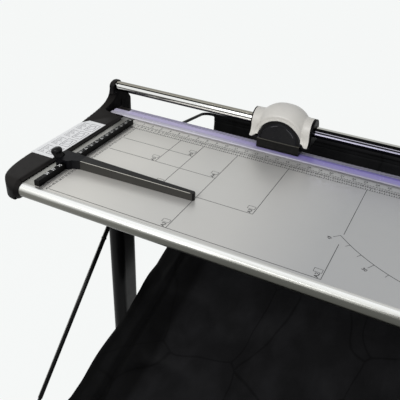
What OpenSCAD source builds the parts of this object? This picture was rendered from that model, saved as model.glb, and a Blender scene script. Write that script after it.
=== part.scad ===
// Large-format rotary paper trimmer on a two-leg stand with a fabric catch sling.
// Millimetres. +X runs along the cut, +Y to the rear, +Z up; the floor is z = 0.

/* [Table] */
// Length of the table between the end caps
table_len = 1377; // [1100:1:1600]
// Distance from the cut line to the centre of the front nose
table_depth = 430; // [400:1:560]
// Height of the table top above the floor
table_h = 870; // [780:1:950]
// Diameter of the rounded front nose, which is also the table thickness
nose_d = 30; // [28:1:36]
// Thickness of the table board
board_t = 20; // [16:1:21]
// Wall of the aluminium extrusions
ext_wall = 3; // [2:0.5:3]
// Depth of the flange under the front of the board
nose_flange = 34; // [28:1:50]
// Depth of the hollow beam under the rear of the board
beam_w = 50; // [40:1:70]
// Width of the cross members under the board
member_w = 90; // [70:1:110]

/* [Counter blade] */
// Thickness of the counter blade
edge_t = 3; // [2:0.5:4]
// Height of the counter blade
edge_h = 26; // [24:1:28]
// Number of screws that hold the counter blade
edge_screws = 12; // [6:1:16]
// Radius of the screw shanks
edge_shank_r = 2; // [1.5:0.25:2.5]
// Length of screw that enters the board
edge_bite = 12; // [8:1:16]
// Drop of the screws below the table top
edge_screw_drop = 14; // [12:0.5:14]
// Radius of the screw heads
edge_head_r = 4.5; // [4:0.5:5]
// Height of the screw heads
edge_head_h = 2.5; // [2:0.5:3]

/* [Side ruler] */
// Width of the aluminium strip beside the ruler
channel_w = 33.5; // [30:0.5:38]
// Width of the ruler bar
ruler_w = 13; // [12:0.5:16]
// Height of the ruler bar
ruler_h = 13; // [10:0.5:16]
// Gap between the cut line and the rear end of the ruler
ruler_back = 74; // [70:1:100]
// Gap between the nose centre and the front end of the ruler
ruler_front = 6; // [4:1:20]
// Radius of the ruler's screw heads
ruler_head_r = 3.5; // [3:0.5:4]
// Height of the ruler's screw heads
ruler_head_h = 2.5; // [2:0.5:3]
// Radius of the ruler's screw shanks
ruler_shank_r = 1.8; // [1.5:0.1:2]
// Length of screw that enters the board
ruler_bite = 10; // [8:1:12]
// Distance of the outer ruler screws from the ruler's ends
ruler_screw_in = 20; // [12:1:40]
// Chamfer of the ruler's top edges
ruler_bevel = 1.5; // [0.5:0.25:3]

/* [End caps] */
// Width of an end cap
cap_w = 60; // [56:1:70]
// Rise of the cap above the table top
cap_rise = 8; // [6:0.5:12]
// Drop of the cap below the table top
cap_drop = 34; // [32:1:40]
// Overhang of the cap in front of the nose centre
cap_front = 20; // [16:1:28]
// Length of the round outer corner along the cap
corner_len = 145; // [60:1:165]
// Width of the round outer corner across the cap
corner_w = 54; // [40:1:56]
// Reach of the cap's wall behind the cut line
cap_back = 58; // [50:1:64]
// Rise of the wall's rear end above the cap
back_rise = 2; // [1:0.5:6]
// Radius of the front top edge in side view
cap_edge_r = 22; // [10:1:30]
// Width of the outer wall that rises to the rail
cap_wall = 14; // [13:0.5:16]
// Distance from the cut line where the sweep to the post begins
sweep_start = 150; // [130:1:170]
// Lead of the sweep's curve along the cap
sweep_run = 50; // [30:1:60]
// Rise of the sweep over that lead
sweep_lift = 9; // [4:0.5:12]
// Lead of the sweep's curve in front of the post
sweep_knee = 3; // [1:0.5:6]
// Rise of the sweep at the post's foot
sweep_toe = 6; // [2:0.5:10]
// Drop of the sweep's end below the rail axis
sweep_end = 4; // [2:0.5:8]
// Reach of the post in front of the rail axis
post_r = 21; // [20:0.5:24]
// Rise of the post above the rail axis
post_top = 14.5; // [14:0.5:18]
// Roundness of the post's top
post_round = 7; // [5:0.5:8]
// Half length of the flat on the post's top
post_flat = 2; // [1:0.5:3]
// Height of the shoulder under the post, above the table
shoulder_z = 42; // [38:0.5:42]
// Angle in plan by which the sweep falls away towards the table
sweep_skew = 60; // [45:1:65]
// Distance from the cut line to the front of the clamp notch
notch_front = 62; // [56:0.5:66]
// Depth of the notch floor below the table top
notch_floor = 2; // [1:0.5:4]
// Reach of the notch floor behind the cut line
notch_back = 10; // [8:1:20]
// Depth of the ribs on the wall's inner face
rib_depth = 2; // [1.5:0.25:2.5]
// Thickness of a rib
rib_t = 2.4; // [2:0.1:3]
// Rise of the first rib above the cap
rib_rise = 8; // [7.5:0.5:9]
// Number of ribs
rib_count = 6; // [3:1:8]
// Distance from the cut line to the rear end of the label plate
label_back = 126; // [120:1:140]
// Length of the label plate
label_len = 200; // [150:1:230]
// Thickness of the label plate
label_t = 0.8; // [0.6:0.1:1.2]
// Radius of the cap screw heads
cap_head_r = 5; // [4:0.5:6]
// Radius of the cap screw shanks
cap_shank_r = 2.5; // [2:0.25:3]
// Depth of the pockets for the cap screw heads
cap_pocket = 38; // [30:1:42]
// Height of the cap screw heads
cap_head_h = 4; // [3:0.5:5]
// Length of cap screw that enters the table
cap_bite = 14; // [10:1:18]
// Distance of the front cap screw behind the nose centre
cap_screw_front = 70; // [50:1:100]
// Distance of the rear cap screw in front of the cut line
cap_screw_back = 90; // [70:1:110]
// Reach of the cap's lip over the end of the table
lip_in = 7.5; // [6:0.5:9]

/* [Rail] */
// Diameter of the guide rail
rail_d = 25; // [24:0.5:26]
// Height of the rail axis above the table top
rail_z = 59; // [57:0.5:60]
// Length of the rail that sits in each post
rail_seat = 8; // [6:0.5:9]
// Width of the rail groove
groove_w = 5; // [4:0.5:6]
// Depth of the rail groove
groove_depth = 3; // [2:0.25:4]
// Angle of the groove above the horizontal, on the front side
groove_angle = 45; // [40:1:60]
// Radius of the bolts that hold the rail ends
rail_bolt_r = 4; // [3:0.5:4.5]
// Radius of the rail bolts' heads
rail_head_r = 7; // [6:0.5:8]
// Height of the rail bolts' heads
rail_head_h = 4; // [3:0.5:5]
// Length of bolt in the rail
rail_bite = 20; // [14:1:30]

/* [Clamp strip] */
// Gap between the cut line and the rear edge of the strip
clamp_back = 7; // [6:0.5:10]
// Depth of the strip
clamp_w = 41; // [36:0.5:44]
// Thickness of the strip
clamp_t = 3; // [2.5:0.25:3.5]
// Height of the raised rear band above the strip's underside
clamp_band_h = 4; // [3.75:0.25:4.25]
// Depth of the raised rear band
clamp_band_w = 18; // [14:0.5:22]
// Width of the sloped edges of the strip
clamp_edge = 2; // [1:0.25:3]
// Rest height of the strip above the table
clamp_lift = 1.5; // [1.4:0.1:1.6]
// Length of the narrow tongue that enters each end cap
clamp_tongue = 41; // [34:1:43]
// Depth of the tongue
tongue_w = 26; // [20:1:30]
// Distance from the strip's rear edge to the tongue
tongue_in = 13; // [8:0.5:14]
// Width of the slot in the tongue
tongue_slot = 5; // [3:0.5:7]

/* [Cutting head] */
// Rest position of the head, from the ruler's face
head_at = 367.5; // [200:0.5:900]
// Length of the head along the rail
head_len = 146; // [140:1:160]
// Radius of the sleeve ends about the rail axis
sleeve_r = 29; // [28:0.5:32]
// Radius of the central hump about the rail axis
hump_r = 50; // [46:0.5:52]
// Half length at which the hump has run out into the sleeves
hump_end = 51; // [48:1:60]
// Fullness of the hump's shoulders
hump_full = 2.5; // [2:0.1:3]
// Depth of the shell in front of the rail axis, at its flat front
shell_front = 37; // [36.5:0.5:40]
// Wall of the shell
shell_wall = 3; // [2:0.25:3.5]
// Height of the shell's lower edge above the table
shell_low = 30; // [29:0.25:31]
// Radius of the arch in the front of the shell
arch_r = 53.5; // [53:0.25:55]
// Radius of the half-disc cover
cover_r = 51.5; // [48:0.5:52]
// Height of the half-disc's centre above the table
cover_z = 28.5; // [28:0.25:30]
// Distance from the cut line to the front of the cover
cover_front = 34; // [33:0.5:35]
// Thickness of the half-disc
cover_t = 8; // [6:0.5:9]
// Height of the base block's underside above the table
base_z = 6.2; // [6:0.1:6.5]
// Depth by which the base block stands in front of the half-disc
base_out = 1.5; // [1:0.25:2]
// Thickness of the plate under the carriage
plate_t = 4; // [3:0.5:4.5]
// Thickness of the black lips at the sleeve ends
lip_w = 3; // [2:0.5:4]
// Radius of the carriage about the rail axis
carriage_r = 22; // [21:0.5:23]
// Outer radius of the glide bushes
bush_r = 16.5; // [16:0.5:17.5]
// Length of a glide bush
bush_len = 30; // [24:1:34]
// Radius of the cover screws' shanks
cover_screw_r = 2; // [1.5:0.25:2.25]
// Distance of the cover screws from the head's middle
cover_screw_x = 38; // [32:1:42]
// Radius of the cover screws' heads
cover_head_r = 3.5; // [3:0.25:4]
// Height of the cover screws' heads
cover_head_h = 2.5; // [2:0.25:3]

/* [Rotary blade] */
// Diameter of the rotary blade
blade_d = 40; // [36:1:41]
// Thickness of the rotary blade
blade_t = 1.2; // [0.8:0.1:1.5]
// Depth to which the blade passes below the table top
blade_dip = 2; // [1.5:0.25:2.5]
// Radius of the blade's axle
axle_r = 3; // [2.5:0.25:3.5]
// Radius of the blade's hub
hub_r = 9; // [8:0.5:10]
// Length of the blade's hub
hub_len = 9; // [7:0.5:10]
// Radius of the axle's retaining head
axle_head_r = 5; // [4.5:0.25:6]
// Height of the axle's retaining head
axle_head_h = 2; // [1.5:0.25:2.5]
// Room for the spring behind the cover
spring_room = 1; // [0.8:0.1:1.5]
// Width of the bevel behind the blade's edge
blade_bevel = 3; // [2:0.25:4]
// Room around the blade in the carriage
blade_room = 3; // [2:0.25:4]

/* [Stop] */
// Distance from the cut line to the rear edge of the arm at its root
stop_at = 301; // [260:1:330]
// Reach of the arm from the ruler's face
stop_len = 297.5; // [250:0.5:340]
// Width of the arm at its root
arm_root_w = 24; // [20:0.5:26]
// Width of the arm at its tip
arm_tip_w = 11.5; // [10:0.5:14]
// Height of the arm at its root, and of the stop head
arm_root_h = 21; // [18:0.5:24]
// Height of the arm at its tip
arm_tip_h = 17; // [15:0.5:18]
// Distance by which the tip's rear edge lies in front of the root's
arm_tip_in = 2.5; // [0:0.5:6]
// Width of the stop head along the ruler
stop_head_w = 40; // [38:1:46]
// Reach of the stop head past the ruler's face
stop_head_out = 11.5; // [10:0.5:18]
// Reach of the stop head outside the ruler
stop_head_in = 18; // [17:0.5:20]
// Distance by which the stop head reaches behind the arm
stop_head_back = 2; // [1:0.5:6]
// Radius of the stop head's outer corners
stop_corner = 8; // [5:0.5:10]
// Radius of the stop head's inner front corner
stop_front = 12; // [8:0.5:14]
// Angle over which that corner turns
stop_turn = 70; // [50:1:80]
// Length of the blend from the stop head to the arm
stop_blend = 16; // [12:0.5:20]
// Length of the round at the stop head's inner rear corner
stop_round = 16; // [14:0.5:20]
// Ease of that round
stop_ease = 6; // [4:0.5:8]
// Radius of the lock screw
lock_r = 3; // [2.5:0.25:3.5]
// Lean of the lock screw away from the ruler
lock_lean = 22; // [15:1:25]
// Distance of the lock screw's tip outside the ruler
lock_off = 10; // [9.5:0.25:11]
// Distance of the lock screw in front of the stop head's middle
lock_shift = 7; // [4:0.5:9]
// Depth of the screw's tip below the top of the shoe
lock_in = 3; // [2:0.25:4]
// Width of the shoe along the ruler
shoe_w = 14; // [10:0.5:16]
// Reach of the shoe outside the ruler
shoe_out = 14; // [12:0.5:15]
// Drop of the shoe's top below the ruler's
shoe_drop = 2; // [1:0.25:3]
// Radius of the knob's domed head
knob_r = 12.5; // [11.5:0.25:14]
// Radius of the knob's neck
knob_neck_r = 10.5; // [9.5:0.25:11]
// Height of the knob
knob_h = 24; // [20:0.5:27]
// Height of the knob's seat above the table
knob_seat = 16; // [14:0.5:18]
// Room around the knob in the stop head
knob_room = 1; // [0.5:0.25:1.5]

/* [Stand] */
// Distance from the ends of the table to the leg centres
leg_inset = 86; // [70:1:140]
// Width of a leg along the cut
leg_w = 40; // [34:1:42]
// Depth of a leg
leg_d = 80; // [68:1:84]
// Wall of the steel tubes
tube_wall = 2; // [1.5:0.25:2.5]
// Distance from the leg centres to the cut line
leg_setback = 200; // [180:1:220]
// Length of a foot
foot_len = 640; // [560:1:700]
// Width of a foot
foot_w = 44; // [40:1:50]
// Height of a foot's tube
foot_h = 30; // [26:1:36]
// Height of the levelling pads
pad_h = 10; // [8:1:16]
// Radius of the levelling pads
pad_r = 18; // [15:1:20]
// Distance of the pads from the ends of a foot
pad_in = 40; // [30:1:60]
// Radius of the pads' stems
pad_stem_r = 5; // [4:0.5:6]
// Length of the pads' stems
pad_stem = 16; // [12:1:20]
// Thickness of the plugs at the ends of a foot
plug_t = 6; // [4:0.5:8]
// Thickness of the plate on top of each leg
bracket_t = 4; // [3:0.5:6]
// Depth of the plate on top of each leg
bracket_d = 150; // [140:1:170]
// Distance of the plate's bolts from its sides
bracket_side = 12; // [10:0.5:14]
// Distance of the plate's bolts from its ends
bracket_end = 15; // [12:0.5:20]
// Height of the crossbar's axis above the floor
crossbar_z = 270; // [200:1:300]
// Height of the crossbar
crossbar_h = 50; // [40:1:60]
// Depth of the crossbar
crossbar_d = 26; // [24:1:34]
// Length of the solid ends of the crossbar
crossbar_plug = 30; // [20:1:40]
// Distance of the crossbar's bolts from its edges
crossbar_edge = 11; // [10:0.5:13]
// Radius of the stand's bolts
bolt_r = 4; // [3:0.5:5]
// Radius of the stand's bolt heads
bolt_head_r = 7; // [6:0.5:8]
// Height of the stand's bolt heads
bolt_head_h = 5; // [4:0.5:6]

/* [Catch sling] */
// Diameter of the sling's rods
rod_d = 8; // [6:0.5:9]
// Bend radius of the rods
rod_bend = 24; // [20:1:26]
// Distance from a leg's inner face to a rod's axis
rod_off = 6; // [5.5:0.5:8]
// Distance of the rear rod behind the cut line
rear_rod_y = 200; // [180:1:240]
// Drop of the rear rod below the table top
rear_rod_drop = 56.5; // [50:0.5:70]
// Drop of the rear sockets' axis below the table top
rear_socket_drop = 27.5; // [26:0.5:30]
// Distance of the rear arms' ends behind the cut line
rear_socket_y = 14; // [10:1:18]
// Depth of the rear sockets
rear_socket_len = 26; // [22:1:32]
// Width of the sockets
socket_w = 18; // [16:0.5:20]
// Length of the front sockets
socket_len = 36; // [30:1:44]
// Wall of the front sockets around the rod
socket_end = 4; // [3:0.5:5]
// Distance of the front rod in front of the cut line
front_rod_y = 600; // [560:1:640]
// Drop of the front sockets' axis below the table top
front_socket_drop = 69; // [64:1:80]
// Slope of the front rod's arms
front_slope = 45; // [42:1:48]
// Gap between the rods' arms and the sides of the fabric
sling_gap = 31; // [30:1:120]
// Thickness of the sling's solid
sling_t = 1.6; // [1.2:0.1:2]
// Thickness of the hem around a rod
hem_t = 1.6; // [1.2:0.1:2]
// Height of the hem's flat tab below the rod
hem_tab = 10; // [8:1:16]
// Extra sag of the sling in the middle of its width
sling_sag = 22; // [0:1:30]
// Height of the fabric's folds
fold_h = 7; // [0:0.5:9]
// Number of folds across the sling
fold_count = 5; // [3:1:7]
// Distance of the sling's knee in front of the cut line
knee_y = 74; // [60:1:90]
// Drop of the sling's knee below the table top
knee_drop = 349; // [330:1:370]
// Distance of the sling's low run in front of the cut line
low_y = 510; // [480:1:520]
// Drop of the sling's low run below the table top
low_drop = 492; // [485:1:510]
// Pull of the sheet below the rear rod
rear_pull = 130; // [110:1:150]
// Pull of the sheet behind the knee
knee_rear = 134; // [120:1:145]
// Rise over that pull
knee_rise = 49; // [44:1:54]
// Pull of the sheet in front of the knee
knee_front = 150; // [135:1:160]
// Fall over that pull
knee_fall = 55; // [50:1:60]
// Pull of the sheet behind the low run
low_rear = 130; // [115:1:140]
// Rise over that pull
low_rise = 35; // [31:1:39]
// Pull of the sheet in front of the low run
low_front = 50; // [45:1:55]
// Fall over that pull
low_fall = 13; // [11:1:15]
// Pull of the sheet below the front rod
front_pull = 24; // [20:1:30]

/* [Clearances] */
// Radial clearance of running fits
run_fit = 0.05; // [0.02:0.01:0.09]
// Gap between sliding or seated parts
gap = 0.3; // [0.25:0.05:0.4]
// Overlap of cutting shapes past a face
over = 1; // [0.5:0.5:2]

/* [Hidden] */
$fn = 64;
half_len = table_len / 2;
cap_out = half_len + cap_w;
wall_in = cap_out - cap_wall;
cap_nose = -table_depth - cap_front;
rail_r = rail_d / 2;
rail_end = wall_in + rail_seat;
nose_r = nose_d / 2;
board_rear = -edge_t;
board_front = -table_depth + ext_wall;
beam_front = board_rear - beam_w;
flange_back = -table_depth + nose_flange;
channel_x = -half_len;
ruler_x = channel_x + channel_w;
ruler_face = ruler_x + ruler_w;
ruler_y0 = -table_depth + ruler_front;
ruler_y1 = -ruler_back;
ruler_mid = (ruler_y0 + ruler_y1) / 2;
ruler_screw_step = (ruler_y1 - ruler_y0) / 2 - ruler_screw_in;
cap_screw_z = -board_t / 2;
cap_screw_ys = [-table_depth + cap_screw_front, -table_depth / 2, -cap_screw_back];
leg_x = half_len - leg_inset;
leg_in = leg_x - leg_w / 2;
leg_top = table_h - nose_d - bracket_t;
foot_top = pad_h + foot_h;
bracket_bolt_x = member_w / 2 - bracket_side;
bracket_bolt_y = bracket_d / 2 - bracket_end;
crossbar_bolt_z = crossbar_h / 2 - crossbar_edge;
rod_r = rod_d / 2;
rod_x = leg_in - rod_off;
sling_w = 2 * (rod_x - sling_gap);
rear_fall = rear_rod_drop - rear_socket_drop;
rear_run = rear_rod_y - rear_socket_y;
rear_slope = atan(rear_fall / rear_run);
rear_arm = rear_run / cos(rear_slope);
front_run = front_rod_y - leg_setback;
front_arm = front_run / cos(front_slope);
front_rod_drop = front_socket_drop + front_run * tan(front_slope);
hem_r = rod_r + run_fit + hem_t;
tab_end = hem_r + hem_tab;
sling_cols = 22;
sling_rows = 24;
head_x = ruler_face + head_at;
shell_len = head_len - 2 * lip_w;
plate_z = shell_low - gap - plate_t;
carriage_len = shell_len;
blade_r = blade_d / 2;
blade_z = blade_r - blade_dip;
blade_y = run_fit;
pocket_r = blade_r + blade_room;
hub_y = blade_y - hub_len;
boss_back = -hub_len - spring_room;
cover_back = -cover_front + cover_t;
cover_screw_y = -(cover_front + hub_len + spring_room) / 2;
key_r0 = rail_r - groove_depth + gap;
key_w = groove_w - 2 * run_fit;
clamp_y1 = -clamp_back;
clamp_y0 = clamp_y1 - clamp_w;
tongue_y1 = clamp_y1 - tongue_in;
tongue_y0 = tongue_y1 - tongue_w;
pad_len = clamp_tongue / 2;
stop_y = -stop_at - arm_root_w / 2;
stop_x0 = ruler_x - stop_head_in;
stop_x1 = ruler_face + stop_head_out;
stop_mid = -stop_at - stop_head_w / 2 + stop_head_back;
lock_y = stop_mid - lock_shift;
arm_x0 = stop_x1 + stop_blend;
arm_x1 = ruler_face + stop_len;
arm_tip_y = -stop_at - arm_tip_in - arm_tip_w / 2;
shoe_top = ruler_h - shoe_drop;
shoe_x0 = ruler_x - shoe_out;
screw_x = ruler_x - lock_off;
screw_z = shoe_top - lock_in;
knob_up = (knob_seat - screw_z) / cos(lock_lean);

// Points of an arc about (cx, cy)
function arc(cx, cy, r, a0, a1, n) =
    [for (i = [0 : n]) let (a = a0 + (a1 - a0) * i / n) [cx + r * cos(a), cy + r * sin(a)]];

// Point at t on a cubic curve with four control points
function curve_at(p, t) =
    pow(1 - t, 3) * p[0] + 3 * t * pow(1 - t, 2) * p[1]
    + 3 * t * t * (1 - t) * p[2] + pow(t, 3) * p[3];

function curve(p, n) = [for (i = [0 : n]) curve_at(p, i / n)];

// Places children in the table's frame: cut line at y = 0, table top at z = 0
module on_table() {
    translate([0, leg_setback, table_h])
        children();
}

// Places children in the head's frame: the head's middle at x = 0
module on_head() {
    on_table()
        translate([head_x, 0, 0])
            children();
}

// Repeats children, drawn at the left end, at both ends
module both_ends() {
    children();
    mirror([1, 0, 0])
        children();
}

// Extrudes an outline drawn in (y, z) along x
module along_x(x0, len) {
    translate([x0, 0, 0])
        rotate([90, 0, 90])
            linear_extrude(len)
                children();
}

// Extrudes an outline drawn in (x, z) along y, towards the rear
module along_y(y0, len) {
    translate([0, y0 + len, 0])
        rotate([90, 0, 0])
            linear_extrude(len)
                children();
}

// Round bar along x on the axis (y, z)
module bar_x(r, x0, len, y = 0, z = 0) {
    translate([x0, y, z])
        rotate([0, 90, 0])
            cylinder(r = r, h = len);
}

// Round bar along y on the axis (x, z)
module bar_y(r, y0, len, x = 0, z = 0) {
    translate([x, y0, z])
        rotate([-90, 0, 0])
            cylinder(r = r, h = len);
}

// Outline with two straight sides and two round ends, long in y
module oval(w, d) {
    square([w, d - w], center = true);
    for (y = [-1, 1])
        translate([0, y * (d - w) / 2])
            circle(w / 2);
}

// Rectangular tube outline
module box_ring(w, h, wall) {
    difference() {
        square([w, h], center = true);
        square([w - 2 * wall, h - 2 * wall], center = true);
    }
}

// Table

// Centres of the counter blade's screws along x
function edge_screw_x(i) = -half_len + (i + 0.5) * table_len / edge_screws;

// Screws along y through the counter blade, grown by a clearance
module edge_shanks(grow, len) {
    for (i = [0 : edge_screws - 1])
        bar_y(edge_shank_r + grow, -len, len + over * grow, edge_screw_x(i), -edge_screw_drop);
}

// Ruler screws along z, grown by a clearance
module ruler_shanks(grow) {
    for (i = [-1 : 1])
        translate([ruler_x + ruler_w / 2, ruler_mid + i * ruler_screw_step, -ruler_bite])
            cylinder(r = ruler_shank_r + grow, h = ruler_bite + ruler_h - ruler_head_h);
}

// Cap screws of the left end along x, grown by a clearance
module cap_shanks(grow) {
    for (y = cap_screw_ys)
        bar_x(cap_shank_r + grow, -half_len - cap_w + cap_pocket,
            cap_w - cap_pocket + cap_bite, y, cap_screw_z);
}

module table_panel() {
    color("#b9b9b7")
        on_table()
            difference() {
                translate([ruler_x, board_front, -board_t])
                    cube([half_len - ruler_x, board_rear - board_front, board_t]);
                edge_shanks(run_fit, edge_t + edge_bite);
                ruler_shanks(run_fit);
                mirror([1, 0, 0])
                    cap_shanks(run_fit);
            }
}

// Hollow rounded nose with a web and two flanges that hold the board
module nose_outline() {
    difference() {
        translate([-table_depth, -nose_r])
            circle(nose_r);
        translate([-table_depth, -nose_r])
            circle(nose_r - ext_wall);
        translate([-table_depth, -nose_d - over])
            square([nose_r + over, nose_d + 2 * over]);
    }
    translate([-table_depth, -nose_d])
        square([ext_wall, nose_d]);
    translate([-table_depth, -board_t - ext_wall])
        square([nose_flange, ext_wall]);
    translate([-table_depth, -nose_d])
        square([nose_flange, ext_wall]);
}

module front_nose() {
    color("#d9dadb")
        on_table()
            along_x(-half_len, table_len)
                nose_outline();
}

module rear_beam() {
    color("#c9cbcc")
        on_table()
            along_x(-half_len, table_len)
                translate([(beam_front + board_rear) / 2, -(board_t + nose_d) / 2])
                    box_ring(beam_w, nose_d - board_t, ext_wall);
}

// Bolts of one leg bracket, pointing up from its underside, grown by a clearance
module bracket_shanks(grow) {
    for (x = [-1, 1], y = [-1, 1])
        translate([x * bracket_bolt_x, y * bracket_bolt_y, 0])
            cylinder(r = bolt_r + grow, h = bracket_t + ext_wall + over);
}

module cross_members() {
    color("#9a9c9e")
        for (side = [-1, 1])
            difference() {
                on_table()
                    translate([side * leg_x, flange_back, -(board_t + nose_d) / 2])
                        along_y(0, beam_front - flange_back)
                            box_ring(member_w, nose_d - board_t, ext_wall);
                translate([side * leg_x, 0, leg_top])
                    bracket_shanks(run_fit);
            }
}

module lower_blade() {
    color("#aab0b6")
        on_table()
            difference() {
                translate([-half_len, -edge_t, -edge_h])
                    cube([table_len, edge_t, edge_h]);
                edge_shanks(run_fit, edge_t + over);
                translate([0, over, 0])
                    edge_shanks(run_fit, edge_t);
            }
}

module lower_blade_screws() {
    color("#8d9196")
        on_table() {
            edge_shanks(0, edge_t + edge_bite);
            for (i = [0 : edge_screws - 1])
                bar_y(edge_head_r, 0, edge_head_h, edge_screw_x(i), -edge_screw_drop);
        }
}

// Aluminium strip that carries the stop beside the ruler
module side_channel() {
    color("#c4c6c7")
        on_table()
            difference() {
                translate([channel_x, board_front, -board_t])
                    cube([channel_w, board_rear - board_front, board_t]);
                cap_shanks(run_fit);
                edge_shanks(run_fit, edge_t + edge_bite);
            }
}

module side_ruler() {
    bevel = ruler_bevel;
    color("#1c1b1b")
        on_table()
            difference() {
                along_y(ruler_y0, ruler_y1 - ruler_y0)
                    polygon([[ruler_x, 0], [ruler_face, 0], [ruler_face, ruler_h - bevel],
                        [ruler_face - bevel, ruler_h], [ruler_x + bevel, ruler_h],
                        [ruler_x, ruler_h - bevel]]);
                ruler_shanks(run_fit);
                for (i = [-1 : 1])
                    translate([ruler_x + ruler_w / 2, ruler_mid + i * ruler_screw_step,
                        ruler_h - ruler_head_h])
                        cylinder(r = ruler_head_r + run_fit, h = ruler_head_h + over);
            }
}

module ruler_screws() {
    color("#3b3b3c")
        on_table() {
            ruler_shanks(0);
            for (i = [-1 : 1])
                translate([ruler_x + ruler_w / 2, ruler_mid + i * ruler_screw_step,
                    ruler_h - ruler_head_h])
                    cylinder(r = ruler_head_r, h = ruler_head_h);
        }
}

// End caps, drawn at the left end

// Curve of the sweep from the cap's low front up to the post
sweep = [[-sweep_start, cap_rise], [-sweep_start + sweep_run, cap_rise + sweep_lift],
    [-post_r - sweep_knee, cap_rise + sweep_toe], [-post_r, rail_z - sweep_end]];

// Side view of the outer wall: low front, sweep, round post top and straight back
module wall_outline() {
    top = rail_z + post_top;
    polygon(concat(
        [[cap_back, -cap_drop], [cap_nose, -cap_drop]],
        arc(cap_nose + cap_edge_r, cap_rise - cap_edge_r, cap_edge_r, 180, 90, 8),
        curve(sweep, 16),
        curve([[-post_r, rail_z], [-post_r, top - post_round], [-post_r + post_round, top],
            [-post_flat, top]], 6),
        curve([[post_flat, top], [post_flat + post_round, top], [post_r - post_round, top - post_flat],
            [post_r - 2 * post_flat, top - post_round - post_flat]], 6),
        [[cap_back, cap_rise + back_rise]]));
}

// Side view of what the sweep leaves, squeezed for a skewed cut; above the shoulder
// nothing is cut
module sweep_outline() {
    k = cos(sweep_skew);
    far = 1000;
    low = [for (q = curve(sweep, 24)) if (q[1] < shoulder_z) [q[0] * k, q[1]]];
    last = low[len(low) - 1];
    polygon(concat(
        [[far, -far], [-far, -far], [-far, cap_rise]], low,
        [[last[0], shoulder_z], [-far, shoulder_z], [-far, far], [far, far]]));
}

// Side view of the floor under the clamp notch
module floor_outline() {
    polygon([[notch_back, -cap_drop], [-notch_front - over, -cap_drop],
        [-notch_front - over, -notch_floor], [notch_back, -notch_floor]]);
}

// Plan view: round outer front corner, full width in front of the notch, wall behind it
module cap_plan() {
    polygon(concat(
        [[-half_len, cap_nose], [-half_len, -notch_front], [-wall_in, -notch_front],
            [-wall_in, cap_back], [-cap_out, cap_back]],
        curve([[-cap_out, cap_nose + corner_len], [-cap_out, cap_nose + corner_len * 0.4],
            [-cap_out + corner_w / 4, cap_nose], [-cap_out + corner_w, cap_nose]], 12)));
}

// Vertical ribs on the inner face of the wall
module wall_ribs() {
    step = (cap_back - post_r) / rib_count;
    for (i = [0 : rib_count - 1])
        translate([-wall_in - over, post_r / 2 + i * step + step / 2 - rib_t / 2, -cap_drop])
            cube([rib_depth + over, rib_t, cap_drop + cap_rise + rib_rise - i]);
}

// Sloped lip over the end of the table
module cap_lip() {
    front = cap_nose + cap_edge_r;
    along_y(front, -notch_front - 2 * over - front)
        polygon([[-half_len - over, gap], [-half_len + lip_in, gap], [-half_len - over, cap_rise - label_t]]);
}

module end_cap() {
    on_table()
        difference() {
            union() {
                intersection() {
                    along_x(-cap_out, cap_w)
                        wall_outline();
                    translate([0, 0, -cap_drop - over])
                        linear_extrude(cap_drop + rail_z + post_top + 2 * over)
                            cap_plan();
                    translate([-cap_out, 0, 0])
                        rotate([0, 0, sweep_skew])
                            along_x(-table_len, 2 * table_len)
                                sweep_outline();
                }
                along_x(-wall_in - over, cap_w - cap_wall + over)
                    floor_outline();
                wall_ribs();
                cap_lip();
            }
            bar_x(rail_r + run_fit, -rail_end, rail_end - half_len, 0, rail_z);
            bar_x(rail_bolt_r + run_fit, -cap_out - over, cap_w, 0, rail_z);
            bar_x(rail_head_r + run_fit, -cap_out - over, over + rail_head_h, 0, rail_z);
            cap_shanks(run_fit);
            for (y = cap_screw_ys)
                bar_x(cap_head_r + run_fit, -cap_out - over, cap_pocket + over, y, cap_screw_z);
            translate([-cap_out - over, -label_back - label_len, cap_rise - label_t / 2])
                cube([cap_w + 2 * over, label_len, label_t]);
        }
}

module end_cap_left() {
    color("#2d2b2a")
        end_cap();
}

module end_cap_right() {
    color("#2d2b2a")
        mirror([1, 0, 0])
            end_cap();
}

// Bare plate on the left cap, where the instructions would be
module label_plate() {
    color("#eeeeec")
        on_table()
            intersection() {
                translate([-cap_out, -label_back - label_len, cap_rise - label_t / 2])
                    cube([cap_w, label_len, label_t]);
                linear_extrude(cap_rise + label_t)
                    cap_plan();
            }
}

module cap_screws() {
    color("#55575a")
        on_table()
            both_ends() {
                cap_shanks(0);
                for (y = cap_screw_ys)
                    bar_x(cap_head_r, -cap_out + cap_pocket - cap_head_h, cap_head_h, y, cap_screw_z);
            }
}

// Rail

// Bar along x in the direction of the rail's groove, from radius r0 to r1
module groove_bar(w, r0, r1, x0, len) {
    translate([0, 0, rail_z])
        rotate([90 - groove_angle, 0, 0])
            translate([x0, -w / 2, r0])
                cube([len, w, r1 - r0]);
}

module guide_rail() {
    color("#d6d8da")
        on_table()
            difference() {
                bar_x(rail_r, -rail_end, 2 * rail_end, 0, rail_z);
                groove_bar(groove_w, rail_r - groove_depth, rail_r + over, -wall_in, 2 * wall_in);
                both_ends()
                    bar_x(rail_bolt_r + run_fit, -rail_end - over, rail_bite + 2 * over, 0, rail_z);
            }
}

module rail_bolts() {
    color("#6c6f73")
        on_table()
            both_ends() {
                bar_x(rail_head_r, -cap_out, rail_head_h, 0, rail_z);
                bar_x(rail_bolt_r, -cap_out, cap_wall - rail_seat + rail_bite, 0, rail_z);
            }
}

// Clamp strip

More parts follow.
